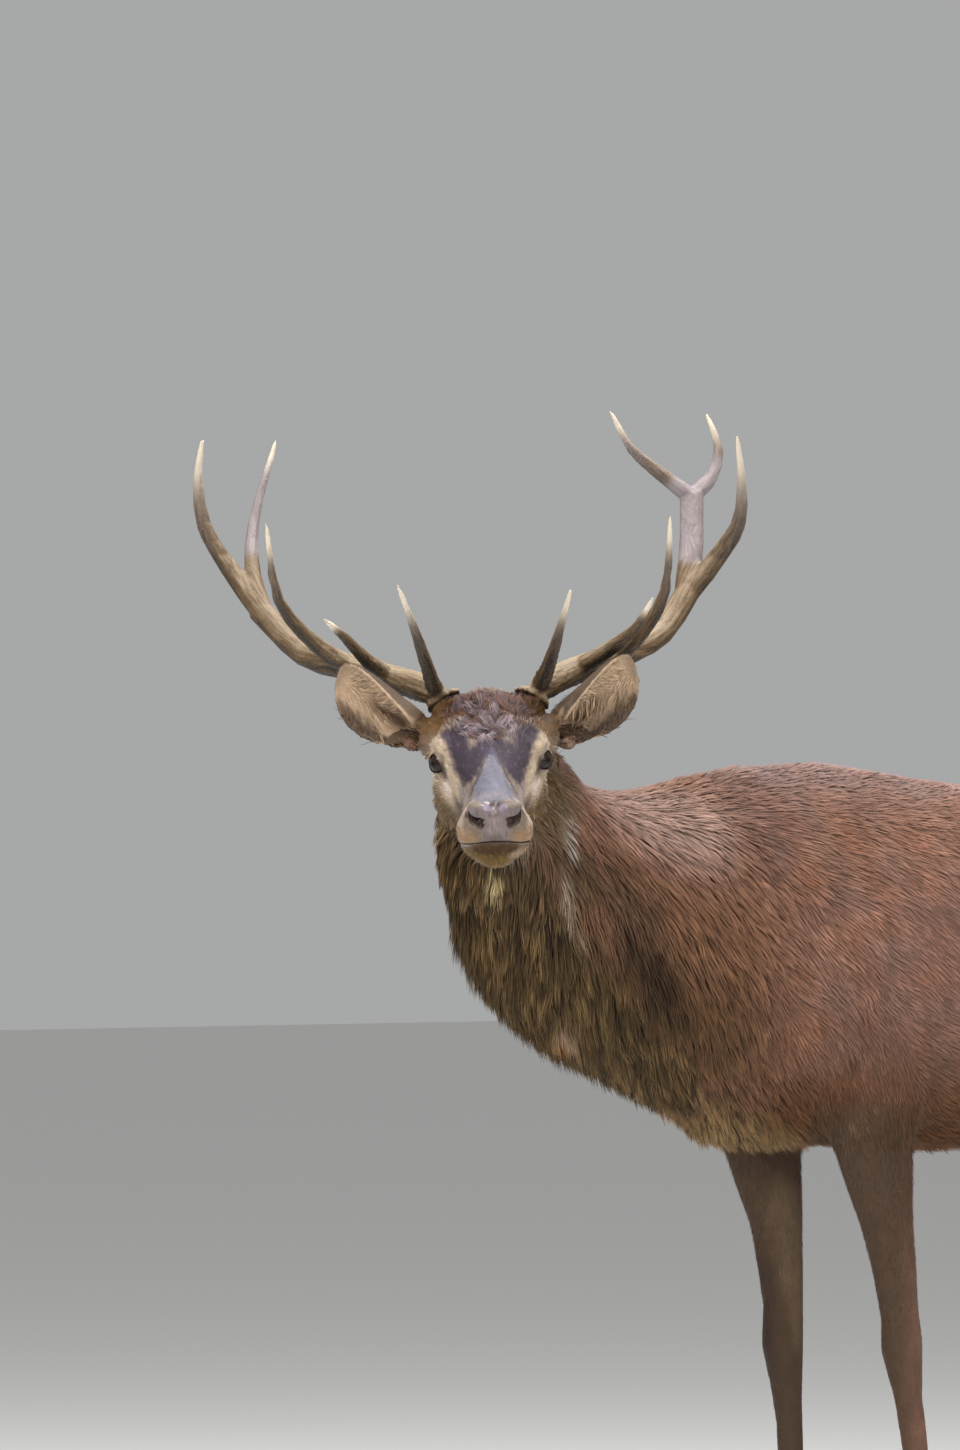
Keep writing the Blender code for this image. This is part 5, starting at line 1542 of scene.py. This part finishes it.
def antler(side):
    """One antler, smoothed, furrowed along its length and pearled at its base."""
    word = "left" if side > 0 else "right"
    nodes = sorted(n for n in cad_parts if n.startswith(f"antler_{word}"))
    piece = melted(f"antler_{word}", nodes, ANTLER_VOXEL)
    points = softened(points_of(piece), edges_of(piece), 4)
    place_points(piece, points)
    tines = [node for node in nodes if "tine" in node]
    for node in tines:
        spine = spine_of(node)
        share = 1 - smoothstep(0.0, 0.035, np.linalg.norm(points - spine[-1], axis=1))
        points += unit(spine[-1] - spine[-3]) * TIP_GAIN * share[:, None]
    place_points(piece, points)
    normals = normals_of(piece)
    grain = grain_of(points, nodes)
    tip, to_tip = np.zeros(len(points)), np.full(len(points), np.inf)
    for node in tines:
        far = np.linalg.norm(points - spine_of(node)[-1], axis=1)
        ivory = IVORY[node.split("_")[2]]
        tip = np.maximum(tip, 1 - smoothstep(0.10, 1.15, far / ivory))
        to_tip = np.minimum(to_tip, far)
    base = out_of(HEAD, np.array([ANTLER_FOOT]) * (side, 1, 1))[0]
    to_base = np.linalg.norm(points - base, axis=1)
    furrow = 0.6 * ripple(grain, 0.55, 11) + 0.4 * ripple(grain, 0.30, 12)
    fade = smoothstep(0.02, 0.12, to_tip) * (0.5 + 0.5 * smoothstep(0.6, 0.1, to_base))
    pearl = np.clip(ripple(points, 0.010, 13) + ripple(points, 0.006, 14), 0, 2)
    low = 1 - smoothstep(0.03, 0.20, to_base)
    burr = 1 - smoothstep(0.020, 0.050, to_base)
    beam = spine_of(f"antler_{word}_beam")
    away = points - base
    along = unit(beam[1:2] - beam[:1])
    away = away - (away @ along.T) * along
    points = points - away * (burr * BURR_DRAWN_IN)[:, None]
    rise = furrow * fade * SIZES.antler_groove + pearl * low * PEARL_HEIGHT
    place_points(piece, points + normals * rise[:, None])
    store(piece, "tip", tip, "FLOAT")
    store(piece, "furrow", np.clip(furrow * 0.5 * fade + 0.5, 0, 1), "FLOAT")
    height = into(HEAD, points)[:, 2]
    crown = smoothstep(0.12, 0.40, height) * (0.8 + 0.2 * ripple(points, 0.12, 15))
    store(piece, "crown", np.clip(crown, 0, 1), "FLOAT")
    # Painted highlight: upward faces are marked to be paler, as where light falls from above.
    store(piece, "upper", np.clip(0.5 + 0.5 * normals[:, 2], 0, 1), "FLOAT")
    pale = np.zeros(len(points))
    for node in nodes:
        if "crown_stem" in node or "crown_tine" in node:
            apart = np.linalg.norm(points[:, None] - spine_of(node, 14)[None], axis=2).min(1)
            pale = np.maximum(pale, 1 - smoothstep(0.022, 0.040, apart))
    store(piece, "pale", pale, "FLOAT")
    store(piece, "grain", grain, "FLOAT_VECTOR")
    only(piece)
    bpy.ops.object.shade_smooth()
    piece.data.materials.append(antler_material())
    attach(piece, "root")
    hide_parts(*nodes)


def antler_material():
    found = bpy.data.materials.get("antler_bone")
    if found:
        return found
    shade = Shade("antler_bone", Specular_IOR_Level=0.4)
    grain = shade.stored("grain", "Vector")
    tip, crown = shade.stored("tip", "Fac"), shade.stored("crown", "Fac")
    furrow, upper = shade.stored("furrow", "Fac"), shade.stored("upper", "Fac")
    lines = shade.noise(grain, 5.0, 4.0, 0.62) * 0.6 + shade.noise(grain, 12.0, 3.0, 0.6) * 0.4
    specks = shade.noise(shade.place(), 260, 3.0, 0.6)
    cloud = shade.noise(shade.place(), 18, 3.0, 0.6)
    depth = lines * 0.75 + furrow * 0.25 + specks * 0.12
    brown = tuple(COLOURS.antler)
    # Dark in the furrows and pale on upward faces; the palest stop, reached on upward faces, is a
    # painted highlight.
    stain_and_highlight = shade.ramp(
        depth + cloud * 0.22 + upper * 0.44 - 0.46,
        (0.26, tuple(0.13 * c for c in brown)), (0.45, tuple(0.95 * c for c in brown)),
        (0.74, (0.275, 0.208, 0.136)),
    )
    beads = shade.node(
        "ShaderNodeTexVoronoi", None, output="Distance", Vector=shade.place(), Scale=330.0
    )
    bead = shade.ramp(beads, (0.10, (1, 1, 1)), (0.34, (0, 0, 0)))
    stain_and_highlight = shade.mixed(bead * 0.30, stain_and_highlight, (0.30, 0.235, 0.165))
    grey = shade.ramp(
        depth + specks * 0.15 + cloud * 0.15 - 0.12, (0.32, (0.060, 0.046, 0.040)),
        (0.50, (0.19, 0.150, 0.135)), (0.72, (0.38, 0.320, 0.305)),
    )
    colour = shade.mixed(crown * 0.9, stain_and_highlight, grey)
    colour = shade.mixed(shade.stored("pale", "Fac") * 0.70, colour, shade.ramp(
        depth + cloud * 0.2, (0.35, (0.13, 0.104, 0.108)), (0.75, (0.32, 0.275, 0.292))))
    colour = shade.mixed(tip * tip, colour, tuple(COLOURS.ivory))
    return shade.finish(
        Base_Color=colour, Roughness=0.60 - tip * 0.28 + specks * 0.12,
        Normal=shade.bump(depth * (1 - tip * 0.8), 0.8, 0.0018),
    )


# ------------------------------------------------------------------ eyes and hooves

CORNEA_RADIUS, CORNEA_RISE = 0.011, 0.0008
PUPIL_LENGTH, PUPIL_HEIGHT = 0.0075, 0.0042  # half of each
HOOF_VOXEL = 0.0022
RING_PACE, RING_DEPTH = 900, 0.00012  # growth rings: radians of their wave to a metre, and depth
SOLE = 0.0012  # what is lower than this is pressed flat on the ground


def eye(side):
    """An eyeball with a slightly swollen cornea and a long pupil."""
    word = "left" if side > 0 else "right"
    bpy.ops.mesh.primitive_uv_sphere_add(segments=64, ring_count=40, radius=EYE_RADIUS)
    piece = bpy.context.object
    piece.name = piece.data.name = f"eyeball_{word}"
    out, ahead, up = eye_axes(side)
    points = points_of(piece)
    swell = np.hypot(points[:, 0], points[:, 1]) / CORNEA_RADIUS
    points[:, 2] += np.exp(-(swell**2)) * (points[:, 2] > 0) * CORNEA_RISE
    iris = np.hypot(points[:, 0], points[:, 1])
    pupil = np.hypot(points[:, 0] / PUPIL_LENGTH, points[:, 1] / PUPIL_HEIGHT)
    front = points[:, 2] > 0
    store(piece, "iris", np.where(front, 1 - smoothstep(0.0125, 0.0140, iris), 0), "FLOAT")
    store(piece, "pupil", np.where(front, 1 - smoothstep(0.85, 1.05, pupil), 0), "FLOAT")
    turned = np.array((ahead, up, out))
    place_points(piece, out_of(HEAD, points @ turned + np.array(EYES_IN_HEAD[side])))
    if Vector(ahead).cross(up).dot(out) < 0:
        piece.data.flip_normals()
    only(piece)
    bpy.ops.object.shade_smooth()
    piece.data.materials.append(eye_material())
    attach(piece, "root")
    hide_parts(f"eye_{word}")


def eye_material():
    found = bpy.data.materials.get("wet_eye")
    if found:
        return found
    shade = Shade("wet_eye", Roughness=0.06, Specular_IOR_Level=0.20)
    fleck = shade.noise(shade.place(), 900, 3.0)
    iris = shade.ramp(fleck, (0.3, (0.010, 0.006, 0.004)), (0.7, (0.030, 0.016, 0.009)))
    colour = shade.mixed(shade.stored("iris", "Fac"), (0.022, 0.014, 0.011), iris)
    colour = shade.mixed(shade.stored("pupil", "Fac"), colour, (0.002, 0.002, 0.003))
    return shade.finish(Base_Color=colour)


def hooves(feet):
    """The claws and dewclaws of two feet, smoothed, with growth rings."""
    nodes = sorted(
        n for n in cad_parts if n.startswith((f"hoof_{feet}", f"dewclaw_{feet}"))
    )
    piece = melted(f"hooves_{feet}", nodes, HOOF_VOXEL, grown=0.0)
    points = softened(points_of(piece), edges_of(piece), 3)
    rings = np.sin(points[:, 2] * RING_PACE + 2.4 * ripple(points, 0.05, 21)) * RING_DEPTH
    rise = rings * smoothstep(0.004, 0.010, points[:, 2])
    points = points + normals_of(piece) * rise[:, None]
    points[:, 2] = np.where(points[:, 2] < SOLE, 0.0, points[:, 2])
    place_points(piece, points)
    only(piece)
    bpy.ops.object.shade_smooth_by_angle(angle=math.radians(40))
    piece.data.materials.append(hoof_material())
    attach(piece, "root")
    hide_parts(*nodes)


def hoof_material():
    found = bpy.data.materials.get("horn")
    if found:
        return found
    shade = Shade("horn", Specular_IOR_Level=0.5)
    place = shade.place()
    height = shade.node("ShaderNodeSeparateXYZ", None, place, output="Z")
    warp = shade.noise(place, 60, 3.0)
    bands = shade.node("ShaderNodeMath", {"operation": "SINE"}, height * RING_PACE + warp * 9)
    horn = tuple(COLOURS.hoof)
    colour = shade.mixed(
        bands * 0.12 + warp * 0.9, tuple(0.6 * c for c in horn), tuple(2.0 * c for c in horn)
    )
    return shade.finish(
        Base_Color=colour, Roughness=0.38 + warp * 0.3, Normal=shade.bump(bands, 0.15, 0.0004)
    )


# ------------------------------------------------------------------ operators


class STAG_OT_skin(bpy.types.Operator):
    """Makes one skin over the head, neck, trunk, legs, ears and tail"""

    bl_idname = "stag.skin"
    bl_label = "Skin"

    def execute(self, context):
        piece = whole_skin()
        points, normals = points_of(piece), normals_of(piece)
        colours = markings_and_painted_light(points, normals, nearest_node(points, FLESH)) * UNDERFUR_SHADE
        colours, wet = face_colours(points, colours)
        store(piece, "tint", colours)
        store(piece, "wet", wet, "FLOAT")
        only(piece)
        bpy.ops.object.shade_smooth_by_angle(angle=math.radians(55))
        piece.data.materials.append(skin_material())
        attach(piece, "root")
        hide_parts(*FLESH)
        return {"FINISHED"}


GROUND = []


def ground():
    """The skin made ready for hair, worked out once."""
    if not GROUND:
        GROUND.append(Ground(bpy.data.objects["skin"]))
    return GROUND[0]


def owned(by):
    return np.isin(ground().owners, [i for i, n in enumerate(FLESH) if n.startswith(by)])


# The mane's path down the front of the neck and chest, with its radius at each station.
MANE_FRONT = [(-0.01, -0.64, 1.12, 0.105), (0.02, -0.58, 1.00, 0.125),
              (0.03, -0.48, 0.89, 0.130), (0.01, -0.34, 0.80, 0.120), (0.0, -0.18, 0.74, 0.10)]
LONG_HAIR = 0.031  # longer hair than this belongs to the neck or the mane
CHEEK_LENGTH = 0.0115  # of the rest, longer hair than this on the head belongs to the cheeks
LEG_TOP = 0.70  # a leg's hair begins below this height


def hair_zones():
    """Which faces wear mane, neck, leg, short, cheek and face hair, by how long the coat is."""
    soil = ground()
    length = coat_lie(soil.centres)[1] + 0.003 * ripple(soil.centres, 0.05, 41)
    ears, head = owned(EARS), owned(("head",))
    body, face = into(BODY, soil.centres), into(HEAD, soil.centres)
    leg = owned(("fore", "hind")) & (body[:, 2] < LEG_TOP)
    long = (length > LONG_HAIR) & ~ears & ~leg & (owned(("neck", "trunk")) | (face[:, 1] > 0.02))
    front = reach(body, MANE_FRONT) + 0.2 * ripple(soil.centres, 0.04, 42) < 1.15
    return {
        "mane": long & front, "neck": long & ~front, "leg": leg,
        "short": ~long & ~leg & ~head & ~ears,
        "cheek": ~long & head & (length > CHEEK_LENGTH),
        "face": ~long & head & (length <= CHEEK_LENGTH),
    }


ZONES = {}


def zone(name):
    if not ZONES:
        ZONES.update(hair_zones())
    return ZONES[name]


MANE_BUFF, PARTING_BROWN = (0.235, 0.150, 0.062), (0.050, 0.024, 0.016)
PALE_HAIR = (0.34, 0.25, 0.24)
CURL_LAVENDER, CURL_BROWN = (0.250, 0.190, 0.205), (0.105, 0.042, 0.018)


def chances(lock, draw, spread):
    """A chance from 0 to 1 for each lock of hair, spread a little among its tufts."""
    return draw.random(lock.max() + 1)[lock] + spread * draw.normal(size=len(lock))


def streaked_mane(places, colours, lock, draw):
    """Fine streaks of buff and dark brown, lock by lock, strongest down the front of the neck."""
    front = 1 - smoothstep(0.75, 1.25, reach(into(BODY, places), MANE_FRONT))
    chance = chances(lock, draw, 0.16)
    buff = (chance > 0.84)[:, None] * (0.10 + 0.40 * front)[:, None]
    dark = (chance < 0.20)[:, None] * (0.20 + 0.45 * front)[:, None]
    return drawn_to(colours, MANE_BUFF, buff) * (1 - dark * 0.9)


def mottled(places, colours, lock, draw):
    """Broad and small uneven patches of the short coat, and a few dark partings."""
    cloud = 0.13 * ripple(places, 0.11, 43) + 0.10 * ripple(places, 0.035, 44)
    parting = (ripple(places * (1, 0.6, 1), 0.030, 45) > 1.35)[:, None] * 0.30
    warm = 1 + 0.10 * ripple(places, 0.08, 46)[:, None] * np.array((-0.5, 0.4, 1.2))
    colours = colours * np.exp(cloud)[:, None] * warm
    return drawn_to(colours, PARTING_BROWN, parting)


FRINGE_LENGTH, FRINGE_LIFT = 0.013, 0.30  # metres and radians


class STAG_OT_short_coat(bpy.types.Operator):
    """Grows the short coat of the trunk, tail and legs"""

    bl_idname = "stag.short_coat"
    bl_label = "Short coat"

    def execute(self, context):
        soil = ground()
        grow(soil, "coat_body", SHORT, zone("short"), 100, tint=mottled)
        grow(soil, "coat_legs", LEG_HAIR, zone("leg"), 200, tint=mottled)
        low = zone("leg") & (soil.centres[:, 2] < HOOF_TOP + FRINGE_LENGTH)
        low &= soil.face_normals()[:, 2] > -0.7
        grow(soil, "coat_fringe", FRINGE, low, 250, way=over_hoof)
        return {"FINISHED"}


def over_hoof(places):
    """The hair over a hoof hangs straight down past the top of the horn."""
    count = len(places)
    down = np.tile((0.0, 0.0, -1.0), (count, 1))
    return down, np.full(count, FRINGE_LENGTH), np.full(count, FRINGE_LIFT)


class STAG_OT_mane(bpy.types.Operator):
    """Grows the long hair of the neck, throat and chest"""

    bl_idname = "stag.mane"
    bl_label = "Mane"

    def execute(self, context):
        grow(ground(), "coat_neck", NECK_HAIR, zone("neck"), 300, tint=streaked_mane)
        grow(ground(), "coat_mane", MANE, zone("mane"), 350, tint=streaked_mane)
        return {"FINISHED"}


CREST = [(0, -0.016, 0.054, 0.034), (0, 0.022, 0.058, 0.047), (0, 0.10, 0.060, 0.066)]


class STAG_OT_face_hair(bpy.types.Operator):
    """Grows the face's short hair, the curly forelock and the hair of the ears"""

    bl_idname = "stag.face_hair"
    bl_label = "Face hair"

    def execute(self, context):
        soil = ground()
        local = into(HEAD, soil.centres)
        crest = reach(local, CREST) + 0.15 * ripple(local, 0.02, 47) < 1
        crest &= (local[:, 2] > 0.026) & owned(("head", "neck"))
        grow(soil, "coat_face", FACE_HAIR, zone("face") & ~crest, 400, tint=flecked)
        grow(soil, "coat_cheek", CHEEK_HAIR, zone("cheek") & ~crest, 450, tint=flecked)
        grow(soil, "coat_forelock", FORELOCK, crest, 500, longer=1.25, tint=curly)
        inner = np.zeros(len(soil.centres), bool)  # where wisps grow
        bald = inner.copy()  # the foot of the hollow, where nothing grows
        for side, node in zip(SIDES, EARS):
            turned = array(ear_matrix(side))
            facing = soil.face_normals() @ turned[:3, 1]
            along = into(ear_matrix(side), soil.centres)[:, 2]
            mine = soil.owners == FLESH.index(node)
            inner |= mine & (facing < -0.2) & (along > 0.044) & (along < 0.135)
            bald |= mine & (facing < 0.45) & (along < 0.064)
        grow(soil, "coat_ears", EAR_HAIR, owned(EARS) & ~bald, 600, way=along_ear)
        grow(soil, "coat_ear_wisps", EAR_WISPS, inner, 650, way=across_ear)
        return {"FINISHED"}


def flecked(places, colours, lock, draw):
    """Single pale and dark hairs in the face's short coat."""
    chance = chances(lock, draw, 0.25)
    pale = (chance > 0.945)[:, None] * 0.30
    dark = (chance < 0.06)[:, None] * 0.35
    return drawn_to(colours, PALE_HAIR, pale) * (1 - dark)


def curly(places, colours, lock, draw):
    """The forelock: pale lavender curls along the brow, brown and grey ones behind."""
    local = into(HEAD, places)
    brow = 1 - smoothstep(-0.010, 0.032, local[:, 1])
    chance = chances(lock, draw, 0.15)
    pale = (chance > 0.76 - 0.30 * brow)[:, None] * (0.30 + 0.45 * brow)[:, None]
    brown = (chance < 0.36 - 0.14 * brow)[:, None] * 0.75
    return drawn_to(drawn_to(colours, CURL_LAVENDER, pale), CURL_BROWN, brown)


def ear_at(places):
    """For each point, its nearer ear's matrix as columns, and its place in it."""
    left = into(BODY, places)[:, 0] > into(BODY, np.array([BETWEEN_EYES]))[0, 0]
    local = np.where(
        left[:, None], into(ear_matrix(1), places), into(ear_matrix(-1), places)
    )
    turned = np.where(left[:, None, None], array(ear_matrix(1))[None, :3, :3],
                      array(ear_matrix(-1))[None, :3, :3])
    return turned, local


def along_ear(places):
    """Short hair runs from the ear's base to its tip."""
    turned, local = ear_at(places)
    lengths = np.full(len(places), 0.008) * (1 - 0.3 * local[:, 2] / EAR_LENGTH)
    base = 1 - smoothstep(0.010, 0.045, local[:, 2])
    return turned[:, :, 2], lengths, 0.14 + 0.30 * base


def across_ear(places):
    """Long wisps lean over the ear's hollow from both of its edges."""
    turned, local = ear_at(places)
    lean = -np.sign(local[:, :1]) * (0.3 + 30 * np.abs(local[:, :1]))
    ways = turned[:, :, 2] + turned[:, :, 0] * lean
    return ways, 0.021 * (1 - 0.4 * local[:, 2] / EAR_LENGTH), np.full(len(places), 0.34)


class STAG_OT_antlers(bpy.types.Operator):
    """Makes both antlers"""

    bl_idname = "stag.antlers"
    bl_label = "Antlers"

    def execute(self, context):
        for side in SIDES:
            antler(side)
        return {"FINISHED"}


class STAG_OT_eyes(bpy.types.Operator):
    """Makes both eyes"""

    bl_idname = "stag.eyes"
    bl_label = "Eyes"

    def execute(self, context):
        for side in SIDES:
            eye(side)
        return {"FINISHED"}


class STAG_OT_hooves(bpy.types.Operator):
    """Makes the hooves and dewclaws"""

    bl_idname = "stag.hooves"
    bl_label = "Hooves"

    def execute(self, context):
        for feet in ("fore", "hind"):
            hooves(feet)
        return {"FINISHED"}


FLOOR_SIZE, FLOOR_DROP = 60, 0.0005
SKY_COLOUR, SKY_STRENGTH = (0.92, 0.93, 0.93, 1), 0.42
LIT_PLACE = Vector((0.05, -0.1, 1.0))  # where every lamp points, in the body's frame
# Each lamp's name, place in the body's frame, breadth and power.
LIGHTS = (
    ("key", (0.6, -3.9, 4.9), 2.6, 270),
    ("top", (0.5, 0.9, 5.6), 2.4, 350),
    ("fill", (6.2, -1.4, 3.4), 3.5, 170),
)
# The camera stands far off to the stag's left and front, and looks at a place beside the neck.
CAMERA_TURN, CAMERA_RISE, CAMERA_FAR = math.radians(52), math.radians(0.5), 30.0
CAMERA_ASIDE, CAMERA_HEIGHT = 0.47, 1.327
FOCAL_LENGTH, SENSOR_WIDTH = 500, 36  # millimetres


class STAG_OT_studio(bpy.types.Operator):
    """Sets the floor, lights and camera"""

    bl_idname = "stag.studio"
    bl_label = "Studio"

    def execute(self, context):
        bpy.ops.mesh.primitive_plane_add(size=FLOOR_SIZE, location=(0, 0, -FLOOR_DROP))
        floor = bpy.context.object
        floor.name = "floor"
        shade = Shade("floor", Roughness=0.9)
        shade.finish(Base_Color=tuple(COLOURS.floor))
        floor.data.materials.append(shade.material)
        floor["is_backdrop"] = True
        world = bpy.data.worlds.new("studio")
        bpy.context.scene.world = world
        world.use_nodes = True
        sky = world.node_tree.nodes["Background"]
        sky.inputs["Color"].default_value = SKY_COLOUR
        sky.inputs["Strength"].default_value = SKY_STRENGTH
        aim = BODY @ LIT_PLACE
        for name, place, size, power in LIGHTS:
            data = bpy.data.lights.new(name, "AREA")
            data.energy = power
            data.size = size
            lamp = new_object(name, data)
            lamp.location = BODY @ Vector(place)
            lamp.rotation_euler = (aim - lamp.location).to_track_quat("-Z", "Y").to_euler()
        turn, rise = CAMERA_TURN, CAMERA_RISE
        aside = (-CAMERA_ASIDE * math.cos(turn), -CAMERA_ASIDE * math.sin(turn), CAMERA_HEIGHT)
        target = BODY @ Vector(aside)
        back = Vector((math.sin(turn) * math.cos(rise), -math.cos(turn) * math.cos(rise),
                       math.sin(rise)))
        lens = bpy.data.cameras.new("camera")
        lens.lens = FOCAL_LENGTH
        lens.sensor_width = SENSOR_WIDTH
        camera = new_object("camera", lens)
        camera.location = target + back * CAMERA_FAR
        camera.rotation_euler = (-back).to_track_quat("-Z", "Y").to_euler()
        bpy.context.scene.camera = camera
        bpy.context.scene.view_settings.view_transform = "Standard"
        return {"FINISHED"}


class STAG_PT_panel(bpy.types.Panel):
    """Lists the stag's pieces in the sidebar"""

    bl_idname = "STAG_PT_panel"
    bl_label = "Red Deer Stag"
    bl_space_type = "VIEW_3D"
    bl_region_type = "UI"
    bl_category = "Stag"

    def draw(self, context):
        for group in (context.scene.stag_sizes, context.scene.stag_colours):
            box = self.layout.box()
            for name in group.bl_rna.properties.keys():
                if name not in ("rna_type", "name"):
                    box.prop(group, name)
        for step in STEPS:
            self.layout.operator(step.bl_idname)


STEPS = (
    STAG_OT_skin, STAG_OT_short_coat, STAG_OT_mane, STAG_OT_face_hair, STAG_OT_antlers,
    STAG_OT_eyes, STAG_OT_hooves, STAG_OT_studio,
)
CLASSES = (StagSizes, StagColours, *STEPS, STAG_PT_panel)


def register():
    for each in CLASSES:
        bpy.utils.register_class(each)
    bpy.types.Scene.stag_sizes = bpy.props.PointerProperty(type=StagSizes)
    bpy.types.Scene.stag_colours = bpy.props.PointerProperty(type=StagColours)


def unregister():
    del bpy.types.Scene.stag_colours
    del bpy.types.Scene.stag_sizes
    for each in reversed(CLASSES):
        bpy.utils.unregister_class(each)


def corners(box):
    return [[float(x) for x in corner] for corner in box]


def main():
    register()
    for step in STEPS:
        area, name = step.bl_idname.split(".")
        getattr(getattr(bpy.ops, area), name)()
    sizes = {"cad": corners(CAD_BOX), "visual": corners(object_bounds())}


if __name__ == "__main__":
    main()
